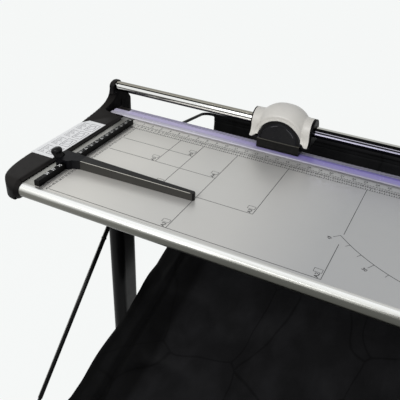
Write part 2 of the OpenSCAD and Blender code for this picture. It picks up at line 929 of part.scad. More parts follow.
module clamp_strip() {
    band_y = clamp_y1 - clamp_band_w;
    slot_y = (tongue_y0 + tongue_y1 - tongue_slot) / 2;
    color("#a9a2d2", 0.7)
        on_table()
            translate([0, 0, clamp_lift]) {
                along_x(-half_len, table_len)
                    polygon([[clamp_y0, 0], [clamp_y1, 0], [clamp_y1, clamp_band_h], [band_y, clamp_band_h],
                        [band_y - clamp_edge, clamp_t], [clamp_y0 + clamp_edge, clamp_t],
                        [clamp_y0, clamp_t / 2]]);
                both_ends()
                    difference() {
                        translate([-half_len - clamp_tongue, tongue_y0, 0])
                            cube([clamp_tongue + over, tongue_w, clamp_t]);
                        translate([-half_len - clamp_tongue - over, slot_y, -over])
                            cube([clamp_tongue / 2 + over, tongue_slot, clamp_t + 2 * over]);
                    }
            }
}

// Foam pads that hold the strip's tongues up
module clamp_pads() {
    color("#3a3a3c")
        on_table()
            both_ends()
                translate([-half_len - pad_len - over, tongue_y0, -notch_floor])
                    cube([pad_len, tongue_w, notch_floor + clamp_lift - gap]);
}

// Cutting head

// Radius of the shell about the rail at a distance x from the head's middle
function shell_r(x) =
    sleeve_r + (hump_r - sleeve_r) * max(0, 1 - pow(abs(x) / hump_end, hump_full));

// Saddle form: a revolve about the rail above, straight sides below, flat front
module head_form(inset, low, length) {
    n = 28;
    xs = [for (i = [0 : n]) -length / 2 + length * i / n];
    intersection() {
        union() {
            translate([0, 0, rail_z])
                rotate([0, 90, 0])
                    rotate_extrude()
                        polygon(concat([[0, -length / 2]],
                            [for (x = xs) [shell_r(x) - inset, x]], [[0, length / 2]]));
            translate([0, 0, low])
                linear_extrude(rail_z - low)
                    polygon(concat([for (x = xs) [x, -shell_r(x) + inset]],
                        [for (i = [n : -1 : 0]) [xs[i], shell_r(xs[i]) - inset]]));
        }
        translate([-length, -shell_front + inset, low])
            cube([2 * length, shell_front + hump_r, rail_z + hump_r]);
    }
}

module head_shell() {
    color("#dcd9d3")
        on_head()
            difference() {
                head_form(0, shell_low, shell_len);
                head_form(shell_wall, shell_low - over, shell_len + 2 * over);
                bar_y(arch_r, -shell_front - over, shell_front, 0, cover_z);
            }
}

// Plates that close the sleeve ends around the rail
module end_lip(x0) {
    r = sleeve_r - gap;
    on_head()
        along_x(x0, lip_w)
            difference() {
                union() {
                    translate([0, rail_z])
                        circle(r);
                    translate([-r, shell_low])
                        square([2 * r, rail_z - shell_low]);
                }
                translate([0, rail_z])
                    circle(rail_r + gap);
            }
}

module end_lip_left() {
    color("#232224")
        end_lip(-head_len / 2);
}

module end_lip_right() {
    color("#232224")
        end_lip(head_len / 2 - lip_w);
}

// Block that carries the bushes, the blade cover and the shell
module carriage() {
    color("#29282a")
        on_head()
            difference() {
                union() {
                    along_x(-carriage_len / 2, carriage_len) {
                        translate([0, rail_z])
                            circle(carriage_r);
                        translate([-carriage_r, plate_z])
                            square([2 * carriage_r, rail_z - plate_z]);
                    }
                    translate([-shell_len / 2, cover_back + gap, plate_z])
                        cube([shell_len, sleeve_r - cover_back - gap, plate_t]);
                    for (side = [-1, 1])
                        translate([side * (shell_len / 2 + arch_r) / 2, -sleeve_r / 2, plate_z + plate_t / 2])
                            cube([shell_len / 2 - arch_r, sleeve_r, plate_t], center = true);
                }
                bar_x(rail_r + over, -head_len, 2 * head_len, 0, rail_z);
                for (side = [-1, 1])
                    bar_x(bush_r + run_fit, side * (carriage_len - bush_len) / 2 - bush_len / 2 - gap,
                        bush_len + 2 * gap, 0, rail_z);
                groove_bar(key_w + 2 * run_fit, 0, bush_r, -head_len / 2, head_len);
                bar_y(pocket_r, -cover_front, cover_front + pocket_r, 0, blade_z);
                cover_shanks(run_fit);
            }
}

// Screws up through the base block into the carriage plate, grown by a clearance
module cover_shanks(grow) {
    for (side = [-1, 1])
        translate([side * cover_screw_x, cover_screw_y, base_z])
            cylinder(r = cover_screw_r + grow, h = plate_z + plate_t - base_z);
}

// Half-disc with a stepped face, apron and base block
module blade_cover() {
    step = cover_t / 4;
    color("#1a191b")
        on_head()
            difference() {
                union() {
                    translate([0, cover_back, cover_z])
                        rotate([90, 0, 0])
                            rotate_extrude(angle = 180)
                                polygon([[0, 0], [cover_r, 0], [cover_r, cover_t - 2 * step],
                                    [cover_r - step, cover_t - step], [cover_r - 4 * step, cover_t - step],
                                    [cover_r - 5 * step, cover_t], [0, cover_t]]);
                    translate([-cover_r, -cover_front - base_out, plate_z - over])
                        cube([2 * cover_r, cover_t + base_out, cover_z - plate_z + over]);
                    translate([-cover_r, -cover_front - base_out, base_z])
                        cube([2 * cover_r, cover_front + base_out + boss_back, plate_z - base_z]);
                }
                bar_y(axle_r + run_fit, cover_back - over, cover_front, 0, blade_z);
                cover_shanks(run_fit);
                for (side = [-1, 1])
                    translate([side * cover_screw_x, cover_screw_y, base_z - over])
                        cylinder(r = cover_head_r + run_fit, h = over + cover_head_h);
            }
}

module cover_screws() {
    color("#6a6d70")
        on_head() {
            cover_shanks(0);
            for (side = [-1, 1])
                translate([side * cover_screw_x, cover_screw_y, base_z])
                    cylinder(r = cover_head_r, h = cover_head_h);
        }
}

// Plastic sleeve on the rail, slotted for the key
module glide_bush(side) {
    x0 = side * (carriage_len - bush_len) / 2 - bush_len / 2;
    on_head()
        difference() {
            bar_x(bush_r, x0, bush_len, 0, rail_z);
            bar_x(rail_r + run_fit, x0 - over, bush_len + 2 * over, 0, rail_z);
            groove_bar(key_w + 2 * run_fit, 0, bush_r + over, x0 - over, bush_len + 2 * over);
        }
}

module glide_bush_left() {
    color("#e8e6df")
        glide_bush(-1);
}

module glide_bush_right() {
    color("#e8e6df")
        glide_bush(1);
}

// Key that runs in the rail's groove and keeps the head upright
module rail_key() {
    color("#9da1a5")
        on_head()
            groove_bar(key_w, key_r0, bush_r, -carriage_len / 2, carriage_len);
}

// Axle with a retaining head behind the blade
module blade_axle() {
    head_y = blade_y + blade_t + gap;
    color("#8f9499")
        on_head() {
            bar_y(axle_r, cover_back, head_y - cover_back, 0, blade_z);
            bar_y(axle_head_r, head_y, axle_head_h, 0, blade_z);
        }
}

// Dished washer that presses the blade against the counter blade
module blade_spring() {
    t = spring_room / 2;
    color("#b5b8bb")
        on_head()
            translate([0, boss_back, blade_z])
                rotate([-90, 0, 0])
                    rotate_extrude()
                        polygon([[axle_r + gap, t], [0.8 * hub_r, 0], [0.8 * hub_r, t / 2],
                            [axle_r + gap, t + t / 2]]);
}

// Disc with a bevel behind its cutting edge
module rotary_blade() {
    color("#c3c7cb")
        on_head()
            translate([0, blade_y, blade_z])
                rotate([-90, 0, 0])
                    rotate_extrude()
                        polygon([[axle_r + run_fit, 0], [blade_r, 0], [blade_r, blade_t / 8],
                            [blade_r - blade_bevel, blade_t], [axle_r + run_fit, blade_t]]);
}

module blade_hub() {
    color("#d8d4c8")
        on_head()
            difference() {
                bar_y(hub_r, hub_y, hub_len, 0, blade_z);
                bar_y(axle_r + run_fit, hub_y - over, hub_len + 2 * over, 0, blade_z);
            }
}

// Stop

// Plan of the stop head: round block over the ruler that draws in to the arm
module stop_plan() {
    front = stop_mid - stop_head_w / 2;
    back = stop_mid + stop_head_w / 2;
    arm_front = stop_y - arm_root_w / 2;
    arm_back = stop_y + arm_root_w / 2;
    polygon(concat(
        arc(stop_x0 + stop_corner, front + stop_corner, stop_corner, 180, 270, 6),
        arc(stop_x1 - stop_front, front + stop_front, stop_front, 270, 270 + stop_turn, 6),
        [[arm_x0, arm_front], [arm_x0, arm_back]],
        curve([[arm_x0 - over, arm_back], [stop_x1, arm_back], [stop_x1 - stop_ease, back],
            [stop_x1 - stop_round, back]], 6),
        arc(stop_x0 + stop_corner, back - stop_corner, stop_corner, 90, 180, 6)));
}

// Places children on the lock screw's axis, with z = 0 at its tip
module on_lock_axis() {
    translate([screw_x, lock_y, screw_z])
        rotate([0, -lock_lean, 0])
            children();
}

module stop_head() {
    color("#262626")
        on_table()
            difference() {
                translate([0, 0, gap])
                    linear_extrude(arm_root_h - gap)
                        stop_plan();
                translate([ruler_x - gap, stop_mid - stop_head_w, 0])
                    cube([ruler_w + 2 * gap, 2 * stop_head_w, ruler_h + gap]);
                translate([shoe_x0 - gap, lock_y - shoe_w / 2 - gap, 0])
                    cube([ruler_x - shoe_x0, shoe_w + 2 * gap, shoe_top + gap]);
                on_lock_axis()
                    cylinder(r = lock_r + run_fit, h = 2 * arm_root_h);
                on_lock_axis()
                    translate([0, 0, knob_up - gap])
                        cylinder(r = knob_r + knob_room, h = arm_root_h);
            }
}

// Arm that tapers in width and height to a round tip
module stop_arm() {
    r = arm_tip_w / 2;
    color("#3c3c3a")
        on_table()
            intersection() {
                translate([0, 0, gap])
                    linear_extrude(arm_root_h)
                        polygon(concat(
                            [[arm_x0, stop_y + arm_root_w / 2], [arm_x0, stop_y - arm_root_w / 2]],
                            arc(arm_x1 - r, arm_tip_y, r, -90, 90, 12)));
                along_y(stop_y - arm_root_w, 2 * arm_root_w)
                    polygon([[arm_x0, gap], [arm_x1, gap], [arm_x1, arm_tip_h], [arm_x0, arm_root_h]]);
            }
}

// Shoe that the screw presses against the ruler
module lock_shoe() {
    lean = tan(lock_lean);
    right = ruler_x - gap;
    color("#7d8084")
        on_table()
            along_y(lock_y - shoe_w / 2, shoe_w)
                polygon([[shoe_x0, gap], [right, gap], [right, shoe_top],
                    [screw_x + (shoe_top - screw_z) / lean, shoe_top],
                    [shoe_x0, screw_z - (screw_x - shoe_x0) * lean]]);
}

// Mushroom knob: a waisted neck under a domed head
module lock_knob() {
    crown = knob_h * 0.45;
    color("#1f1e1e")
        on_table()
            on_lock_axis()
                translate([0, 0, knob_up])
                    rotate_extrude()
                        polygon(concat([[0, 0]],
                            curve([[knob_neck_r, 0], [0.95 * knob_neck_r, crown / 2],
                                [knob_neck_r, crown], [0.95 * knob_r, knob_h - crown]], 8),
                            curve([[knob_r, knob_h - 0.9 * crown], [knob_r, knob_h - crown / 5],
                                [0.7 * knob_r, knob_h], [0, knob_h]], 8)));
}

module lock_screw() {
    color("#888c90")
        on_table()
            on_lock_axis()
                cylinder(r = lock_r, h = knob_up);
}

// Stand

// Crossbar bolts of the left leg along x, grown by a clearance
module crossbar_shanks(grow) {
    for (z = [-1, 1])
        bar_x(bolt_r + grow, -leg_x - leg_w / 2, leg_w + crossbar_plug - over, 0,
            crossbar_z + z * crossbar_bolt_z);
}

module leg() {
    difference() {
        translate([-leg_x, 0, foot_top])
            linear_extrude(leg_top - foot_top)
                difference() {
                    oval(leg_w, leg_d);
                    oval(leg_w - 2 * tube_wall, leg_d - 2 * tube_wall);
                }
        crossbar_shanks(run_fit);
    }
}

module leg_left() {
    color("#1d1d1f")
        leg();
}

module leg_right() {
    color("#1d1d1f")
        mirror([1, 0, 0])
            leg();
}

module leg_brackets() {
    color("#202022")
        both_ends()
            difference() {
                translate([-leg_x - member_w / 2, -bracket_d / 2, leg_top])
                    cube([member_w, bracket_d, bracket_t]);
                translate([-leg_x, 0, leg_top - over])
                    bracket_shanks(run_fit);
                translate([-leg_x, 0, leg_top])
                    bracket_shanks(run_fit);
            }
}

module bracket_bolts() {
    color("#6f7276")
        both_ends()
            translate([-leg_x, 0, leg_top]) {
                bracket_shanks(0);
                for (x = [-1, 1], y = [-1, 1])
                    translate([x * bracket_bolt_x, y * bracket_bolt_y, -bolt_head_h])
                        cylinder(r = bolt_head_r, h = bolt_head_h, $fn = 6);
            }
}

// Positions of the levelling pads along a foot
function pad_y(side) = side * (foot_len / 2 - pad_in);

module foot() {
    difference() {
        translate([-leg_x, 0, pad_h + foot_h / 2])
            along_y(-foot_len / 2, foot_len)
                box_ring(foot_w, foot_h, tube_wall);
        for (side = [-1, 1])
            translate([-leg_x, pad_y(side), pad_h - over])
                cylinder(r = pad_stem_r + run_fit, h = tube_wall + 2 * over);
    }
}

module foot_left() {
    color("#1b1b1d")
        foot();
}

module foot_right() {
    color("#1b1b1d")
        mirror([1, 0, 0])
            foot();
}

// Plastic plugs that close the feet's ends
module foot_plugs() {
    inner_w = foot_w - 2 * tube_wall - 2 * run_fit;
    inner_h = foot_h - 2 * tube_wall - 2 * run_fit;
    color("#101011")
        both_ends()
            for (side = [-1, 1])
                translate([-leg_x, side * foot_len / 2, pad_h + foot_h / 2]) {
                    translate([0, side * plug_t / 2, 0])
                        cube([foot_w, plug_t, foot_h], center = true);
                    translate([0, -side * plug_t, 0])
                        cube([inner_w, 2 * plug_t, inner_h], center = true);
                }
}

// Levelling pads with stems that pass into the feet
module foot_pads() {
    color("#2a2a2b")
        both_ends()
            for (side = [-1, 1])
                translate([-leg_x, pad_y(side), 0])
                    rotate_extrude()
                        polygon([[0, 0], [pad_r, 0], [pad_r, pad_h / 2], [pad_r * 2 / 3, pad_h],
                            [pad_stem_r, pad_h], [pad_stem_r, pad_h + pad_stem], [0, pad_h + pad_stem]]);
}

// Tube with solid ends for the bolts
module crossbar() {
    color("#1d1d1f")
        difference() {
            translate([-leg_in, -crossbar_d / 2, crossbar_z - crossbar_h / 2])
                cube([2 * leg_in, crossbar_d, crossbar_h]);
            translate([-leg_in + crossbar_plug, -crossbar_d / 2 + tube_wall,
                crossbar_z - crossbar_h / 2 + tube_wall])
                cube([2 * (leg_in - crossbar_plug), crossbar_d - 2 * tube_wall,
                    crossbar_h - 2 * tube_wall]);
            both_ends()
                crossbar_shanks(run_fit);
        }
}

module crossbar_bolts() {
    color("#6f7276")
        both_ends() {
            crossbar_shanks(0);
            for (z = [-1, 1])
                bar_x(bolt_head_r, -leg_x - leg_w / 2 - bolt_head_h, bolt_head_h, 0,
                    crossbar_z + z * crossbar_bolt_z);
        }
}

// Sling rods

// Bent rod in the plane z = 0: a cross run on the x axis and two arms towards +y
module u_rod(arm) {
    span = rod_x - rod_bend;
    bar_x(rod_r, -span, 2 * span);
    both_ends() {
        bar_y(rod_r, rod_bend, arm - rod_bend, -rod_x);
        translate([-span, rod_bend, 0])
            rotate([0, 0, 180])
                rotate_extrude(angle = 90)
                    translate([rod_bend, 0])
                        circle(rod_r);
    }
}

// Places the rear rod's plane, with its arms towards the table
module at_rear_rod() {
    on_table()
        translate([0, rear_rod_y, -rear_rod_drop])
            rotate([180 - rear_slope, 0, 0])
                children();
}

// Places the front rod's plane, with its arms towards the legs
module at_front_rod() {
    on_table()
        translate([0, -front_rod_y, -front_rod_drop])
            rotate([front_slope, 0, 0])
                children();
}

module rear_rod() {
    color("#18181a")
        at_rear_rod()
            u_rod(rear_arm);
}

module front_rod() {
    color("#18181a")
        at_front_rod()
            u_rod(front_arm);
}

// Sockets behind the counter blade that hold the rear rod
module rear_sockets() {
    color("#222224")
        difference() {
            on_table()
                both_ends()
                    translate([-rod_x - socket_w / 2, 0, -rear_socket_drop - socket_w / 2])
                        cube([socket_w, rear_socket_len, socket_w]);
            at_rear_rod()
                both_ends()
                    bar_y(rod_r + run_fit, 0, rear_arm, -rod_x);
        }
}

// Sockets on the legs' inner faces that hold the front rod
module front_sockets() {
    color("#222224")
        difference() {
            at_front_rod()
                both_ends()
                    translate([-leg_in, front_arm + socket_end - socket_len, -socket_w / 2])
                        cube([rod_off + rod_r + socket_end, socket_len, socket_w]);
            at_front_rod()
                both_ends()
                    bar_y(rod_r + run_fit, 0, front_arm, -rod_x);
        }
}

// Sling

// Ring around a rod with a flat tab below it
module hem(y, drop) {
    on_table()
        translate([0, y, -drop])
            along_x(-sling_w / 2, sling_w)
                difference() {
                    union() {
                        circle(hem_r);
                        translate([-sling_t / 2, -tab_end])
                            square([sling_t, tab_end]);
                    }
                    circle(rod_r + run_fit);
                }
}

module rear_hem() {
    color("#1a1a1d")
        hem(rear_rod_y, rear_rod_drop);
}

module front_hem() {
    color("#1a1a1d")
        hem(-front_rod_y, front_rod_drop);
}

// Side view of the sheet: down from the rear rod, over the knee, along the low run
// and up to the front rod
rear_top = [rear_rod_y, -rear_rod_drop - tab_end];
front_top = [-front_rod_y, -front_rod_drop - tab_end];
knee = [-knee_y, -knee_drop];
low_run = [-low_y, -low_drop];
sheet_runs = [
    [rear_top, rear_top - [0, rear_pull], knee + [knee_rear, knee_rise], knee],
    [knee, knee - [knee_front, knee_fall], low_run + [low_rear, low_rise], low_run],
    [low_run, low_run - [low_front, low_fall], front_top - [0, front_pull], front_top]];

function sheet_at(v) =
    let (s = min(2, floor(v * 3))) curve_at(sheet_runs[s], v * 3 - s);

// Direction of a cubic curve at t
function curve_slope(p, t) =
    pow(1 - t, 2) * (p[1] - p[0]) + 2 * t * (1 - t) * (p[2] - p[1]) + t * t * (p[3] - p[2]);

// Normal of the side view, on the sheet's lower side
function sheet_normal(v) =
    let (s = min(2, floor(v * 3)), d = curve_slope(sheet_runs[s], v * 3 - s))
    [-d[1], d[0]] / norm(d);

// Bow of the cloth: a sag in the middle of its width and slanted folds
function sheet_bow(u, v) =
    sin(180 * v) * (sling_sag * (1 - pow(2 * u - 1, 2)) + fold_h * sin(360 * (fold_count * u + v)));

function sheet_point(i, j, side) =
    let (u = i / sling_cols, v = j / sling_rows, n = sheet_normal(v),
        p = sheet_at(v) + n * (sheet_bow(u, v) + side * sling_t / 2))
    [-sling_w / 2 + sling_w * u, p[0], p[1]];

// Index of a point: side 0 is above, side 1 below
function sheet_id(i, j, side) = (side * (sling_rows + 1) + j) * (sling_cols + 1) + i;

// Two triangles of a quad, in order
function quad(a, b, c, d) = [[a, b, c], [a, c, d]];

module catch_sling() {
    points = [for (side = [0, 1], j = [0 : sling_rows], i = [0 : sling_cols])
        sheet_point(i, j, 2 * side - 1)];
    skins = [for (j = [0 : sling_rows - 1], i = [0 : sling_cols - 1], f = concat(
        quad(sheet_id(i, j, 0), sheet_id(i, j + 1, 0), sheet_id(i + 1, j + 1, 0), sheet_id(i + 1, j, 0)),
        quad(sheet_id(i, j, 1), sheet_id(i + 1, j, 1), sheet_id(i + 1, j + 1, 1), sheet_id(i, j + 1, 1)))) f];
    ends = [for (i = [0 : sling_cols - 1], f = concat(
        quad(sheet_id(i, 0, 0), sheet_id(i + 1, 0, 0), sheet_id(i + 1, 0, 1), sheet_id(i, 0, 1)),
        quad(sheet_id(i, sling_rows, 0), sheet_id(i, sling_rows, 1),
            sheet_id(i + 1, sling_rows, 1), sheet_id(i + 1, sling_rows, 0)))) f];
    sides = [for (j = [0 : sling_rows - 1], f = concat(
        quad(sheet_id(0, j, 0), sheet_id(0, j, 1), sheet_id(0, j + 1, 1), sheet_id(0, j + 1, 0)),
        quad(sheet_id(sling_cols, j, 0), sheet_id(sling_cols, j + 1, 0),
            sheet_id(sling_cols, j + 1, 1), sheet_id(sling_cols, j, 1)))) f];
    color("#1b1b1f")
        on_table()
            polyhedron(points, concat(skins, ends, sides));
}

table_panel();
front_nose();
rear_beam();
cross_members();
lower_blade();
lower_blade_screws();
side_channel();
side_ruler();
ruler_screws();
end_cap_left();
end_cap_right();
label_plate();
cap_screws();
guide_rail();
rail_bolts();
clamp_pads();
leg_left();
leg_right();
leg_brackets();
bracket_bolts();
foot_left();
foot_right();
foot_plugs();
foot_pads();
crossbar();
crossbar_bolts();
rear_sockets();
front_sockets();
rear_rod();
front_rod();
catch_sling();
rear_hem();
front_hem();
head_shell();
carriage();
blade_cover();
cover_screws();
glide_bush_left();
glide_bush_right();
end_lip_left();
end_lip_right();
rail_key();
blade_axle();
blade_spring();
rotary_blade();
blade_hub();
clamp_strip();
stop_head();
stop_arm();
lock_shoe();
lock_knob();
lock_screw();
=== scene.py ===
import math

import bmesh
import bpy
from mathutils import Matrix, Vector, noise


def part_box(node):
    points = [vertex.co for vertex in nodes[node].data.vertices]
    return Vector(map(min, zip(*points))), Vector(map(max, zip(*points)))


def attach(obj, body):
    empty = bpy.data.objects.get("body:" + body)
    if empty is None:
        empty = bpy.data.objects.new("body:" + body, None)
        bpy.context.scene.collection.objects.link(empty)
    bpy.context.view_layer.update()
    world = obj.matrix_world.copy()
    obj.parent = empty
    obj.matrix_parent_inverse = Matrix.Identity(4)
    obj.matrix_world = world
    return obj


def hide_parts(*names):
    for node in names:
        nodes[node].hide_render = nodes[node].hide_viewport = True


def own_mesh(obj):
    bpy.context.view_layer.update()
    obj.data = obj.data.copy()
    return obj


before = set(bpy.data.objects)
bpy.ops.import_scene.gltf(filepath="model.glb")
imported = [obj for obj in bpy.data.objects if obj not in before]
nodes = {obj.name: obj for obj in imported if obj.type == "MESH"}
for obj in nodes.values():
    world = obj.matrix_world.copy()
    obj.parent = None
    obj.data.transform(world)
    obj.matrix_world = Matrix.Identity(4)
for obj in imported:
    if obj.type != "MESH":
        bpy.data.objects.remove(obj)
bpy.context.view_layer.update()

scene = bpy.context.scene
scene.view_settings.view_transform = "Standard"

MM = 0.001
# The table's own frame: x from the print's zero, y from the cut, z from the board's top
RULER_X, CUT_Y, BOARD_Z = -0.6445, 0.2, 0.87


def middle(name):
    low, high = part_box(name)
    return (low + high) / 2


HEAD_X, ARCH_Z = middle("rotary_blade").x, 28.5
SLING_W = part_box("catch_sling")[1].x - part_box("catch_sling")[0].x


# Camera, set to the photograph's viewing angle

view = bpy.data.cameras.new("view")
view.lens = 51.01
view.sensor_width = 36
view.clip_end = 60
camera = bpy.data.objects.new("view", view)
camera.location = (0.0835, -0.963, 1.480)
camera.rotation_euler = [math.radians(a) for a in (57.466, -1.943, 27.238)]
scene.collection.objects.link(camera)
scene.camera = camera


# Finishes

def tone(code):
    """Linear colour of a hex code."""
    def linear(v):
        return v / 12.92 if v <= 0.04045 else ((v + 0.055) / 1.055) ** 2.4
    return tuple(linear(int(code[i:i + 2], 16) / 255) for i in (1, 3, 5)) + (1.0,)


class Finish:
    """A material under construction, with its pattern nodes feeding one shader."""

    def __init__(self, name, colour, rough, metal=0.0, spec=0.5, **sockets):
        self.mat = bpy.data.materials.new(name)
        self.mat.use_nodes = True
        self.tree = self.mat.node_tree
        self.shader = self.tree.nodes["Principled BSDF"]
        self.shader.inputs["Base Color"].default_value = tone(colour)
        self.shader.inputs["Roughness"].default_value = rough
        self.shader.inputs["Metallic"].default_value = metal
        self.shader.inputs["Specular IOR Level"].default_value = spec
        for socket, value in sockets.items():
            self.shader.inputs[socket.replace("_", " ").title()].default_value = value

    def add(self, kind, **values):
        node = self.tree.nodes.new(kind)
        for key, value in values.items():
            if key in node.inputs:
                node.inputs[key].default_value = value
            else:
                setattr(node, key, value)
        return node

    def link(self, out, into):
        self.tree.links.new(out, into)

    def coords(self, stretch=(1, 1, 1), turn=(0, 0, 0), source="Object"):
        place = self.add("ShaderNodeTexCoord")
        mapping = self.add("ShaderNodeMapping", Scale=stretch, Rotation=turn)
        self.link(place.outputs[source], mapping.inputs["Vector"])
        return mapping.outputs["Vector"]

    def grain(self, scale, detail=4.0, stretch=(1, 1, 1), source="Object"):
        tex = self.add("ShaderNodeTexNoise", Scale=scale, Detail=detail)
        self.link(self.coords(stretch, source=source), tex.inputs["Vector"])
        return tex.outputs["Fac"]

    def between(self, fac, low, high, from_low=0.3, from_high=0.7):
        """A value carried from one range to another. The usual source range is a noise texture's."""
        span = self.add("ShaderNodeMapRange")
        span.inputs["From Min"].default_value = from_low
        span.inputs["From Max"].default_value = from_high
        span.inputs["To Min"].default_value = low
        span.inputs["To Max"].default_value = high
        self.link(fac, span.inputs["Value"])
        return span.outputs["Result"]

    def mix(self, fac, colour_a, colour_b):
        """A blend of two colours, each a hex code or a socket."""
        blend = self.add("ShaderNodeMix", data_type="RGBA")
        for socket, value in ((blend.inputs[6], colour_a), (blend.inputs[7], colour_b)):
            if isinstance(value, str):
                socket.default_value = tone(value)
            else:
                self.link(value, socket)
        self.link(fac, blend.inputs[0])
        return blend.outputs[2]

    def along(self, axis, low, high, turn=(0, 0, 0)):
        """0 to 1 between two places on an object axis, in metres."""
        axes = self.add("ShaderNodeSeparateXYZ")
        self.link(self.coords(turn=turn), axes.inputs["Vector"])
        return self.between(axes.outputs[axis], 0, 1, low, high)

    def bands(self, axis, low, high, stops, turn=(0, 0, 0)):
        """Colours that change along an object axis, between two places in metres."""
        return self.shades(self.along(axis, low, high, turn), stops)

    def shades(self, fac, stops):
        """A colour ramp, its stops given as places from 0 to 1 with hex codes."""
        ramp = self.add("ShaderNodeValToRGB")
        elements = ramp.color_ramp.elements
        while len(elements) < len(stops):
            elements.new(0.5)
        for element, (at, code) in zip(elements, stops):
            element.position = at
            element.color = tone(code)
        self.link(fac, ramp.inputs["Fac"])
        return ramp.outputs["Color"]

    def facing(self, axis, low, high):
        """0 to 1 as the surface turns towards an axis of the object."""
        place = self.add("ShaderNodeTexCoord")
        axes = self.add("ShaderNodeSeparateXYZ")
        self.link(place.outputs["Normal"], axes.inputs["Vector"])
        return self.between(axes.outputs[axis], 0, 1, low, high)

    def paint(self, colour):
        self.link(colour, self.shader.inputs["Base Color"])
        return self

    def rough(self, value):
        self.link(value, self.shader.inputs["Roughness"])
        return self

    def relief(self, height, strength, depth=0.0002, edge=0.0):
        bump = self.add("ShaderNodeBump", Strength=strength, Distance=depth)
        self.link(height, bump.inputs["Height"])
        if edge:
            soft = self.add("ShaderNodeBevel", samples=4, Radius=edge)
            self.link(soft.outputs["Normal"], bump.inputs["Normal"])
        self.link(bump.outputs["Normal"], self.shader.inputs["Normal"])
        return self


LONG_X, LONG_Y = (0.02, 1, 1), (1, 0.02, 1)


def moulded(name, dark, light, rough, grain=1400, strength=0.25, edge=0.0012, **sockets):
    """Moulded plastic: fine spark grain, clouded gloss, softened edges."""
    f = Finish(name, dark, rough, **sockets)
    cloud = f.grain(9, 3)
    f.paint(f.mix(f.between(cloud, 0, 1), dark, light))
    f.rough(f.between(f.grain(60, 5), rough - 0.05, rough + 0.07))
    return f.relief(f.grain(grain, 2), strength, 0.0001, edge).mat


def drawn_metal(name, dark, light, rough, stretch, edge=0.0008, **sockets):
    """Metal with fine lines along its length."""
    f = Finish(name, dark, rough, 1.0, **sockets)
    lines = f.grain(900, 3, stretch)
    f.paint(f.mix(f.between(lines, 0, 1), dark, light))
    f.rough(f.between(f.grain(300, 3, stretch), rough - 0.04, rough + 0.06))
    return f.relief(lines, 0.12, 0.0001, edge).mat


def painted(name, dark, light, rough, edge=0.001, **sockets):
    """Powder-coated steel with a fine orange peel."""
    f = Finish(name, dark, rough, **sockets)
    f.paint(f.mix(f.between(f.grain(12, 4), 0, 1), dark, light))
    f.rough(f.between(f.grain(80, 4), rough - 0.05, rough + 0.06))
    return f.relief(f.grain(900, 1), 0.18, 0.0002, edge).mat


def board_lacquer():
    """Silver-grey lacquer with fine metallic flake, and a painted reflection that makes it paler at the
    ruler's end.
    """
    f = Finish("board_lacquer", "#b0afac", 0.36, 0.45)
    flake = f.grain(2600, 2)
    reach = 0.69
    # Painted reflection: the lacquer is paler towards the ruler's end and darker to the right.
    fade = f.bands("X", -reach, reach, (
        (0.0, "#dbd8d2"), (0.1, "#d9d6d0"), (0.22, "#cbc9c5"), (0.32, "#c5c3c0"),
        (0.45, "#aaaaab"), (1.0, "#aaaaab")))
    base = f.mix(f.between(f.grain(2.2, 3), 0, 0.15), fade, "#b9b9b6")
    f.paint(f.mix(f.between(flake, 0, 0.22, 0.45, 0.75), base, "#d8d7d3"))
    f.rough(f.between(f.grain(40, 4), 0.33, 0.40))
    return f.relief(flake, 0.05, 0.0001).mat


def nose_aluminium():
    """Drawn aluminium with a painted highlight band above and painted shade towards its underside, the shade
    darker to the right.
    """
    f = Finish("nose_aluminium", "#b5b4ae", 0.3, 0.9)
    lines = f.grain(900, 3, LONG_X)
    # Painted highlight and shade: colour steps by how far the surface faces up, a bright band above and
    # darker below.
    top = ((0.985, "#ffffff"), (1.0, "#c8c7c4"))
    left = ((0.0, "#55544e"), (0.65, "#777670"), (0.88, "#f4f4f0")) + top
    right = ((0.0, "#403f3a"), (0.6, "#555550"), (0.84, "#50504d"), (0.93, "#e8e8e5")) + top
    to_right = f.along("X", RULER_X + 0.06, RULER_X + 0.45)
    turn = f.facing("Z", -1, 1)
    painted_highlight_and_shade = f.mix(to_right, f.shades(turn, left), f.shades(turn, right))
    f.paint(f.mix(f.between(lines, 0, 0.06), painted_highlight_and_shade, "#8f8e87"))
    f.rough(f.between(f.grain(300, 3, LONG_X), 0.24, 0.34))
    return f.relief(lines, 0.1, 0.0001, 0.0006).mat


def rail_chrome():
    """Polished bar with painted reflections in light and dark bands along its length, darker past the head.
    """
    f = Finish("rail_chrome", "#c9c8c6", 0.1, 1.0)
    low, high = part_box("guide_rail")
    lean = math.radians(32)
    across = (low.y + high.y) / 2 * math.sin(lean) + (low.z + high.z) / 2 * math.cos(lean)
    r = (high.z - low.z) / 2
    # Painted reflections: the light and dark steps across the bar, with a darker set past the head.
    light = ((0.0, "#0c0c0d"), (0.11, "#141415"), (0.14, "#d4d3d0"), (0.24, "#dedddb"), (0.26, "#4a4948"),
             (0.33, "#55534f"), (0.36, "#ecebe9"), (0.58, "#f6f6f4"), (0.61, "#2c2b29"), (0.68, "#33312e"),
             (0.71, "#aaa69c"), (0.86, "#8a867c"), (1.0, "#6b685f"))
    dark = ((0.0, "#08080a"), (0.2, "#0a0a0c"), (0.23, "#bdbbd0"), (0.31, "#c5c3d6"), (0.34, "#14141b"),
            (0.45, "#0c0c10"), (0.48, "#48474d"), (0.53, "#48474d"), (0.56, "#08080a"), (0.78, "#101010"),
            (0.82, "#b5b4af"), (1.0, "#a3a29c"))
    past_head = f.along("X", HEAD_X + 0.02, HEAD_X + 0.06)
    before, after = (f.bands("Z", across - r, across + r, stops, (lean, 0, 0)) for stops in (light, dark))
    painted_reflections = f.mix(past_head, before, after)
    lines = f.grain(700, 3, LONG_X)
    f.paint(f.mix(f.between(lines, 0, 0.02), painted_reflections, "#5d5b57"))
    f.rough(f.between(f.grain(35, 4, (0.1, 1, 1)), 0.08, 0.14))
    return f.relief(lines, 0.03, 0.0001, 0.0003).mat


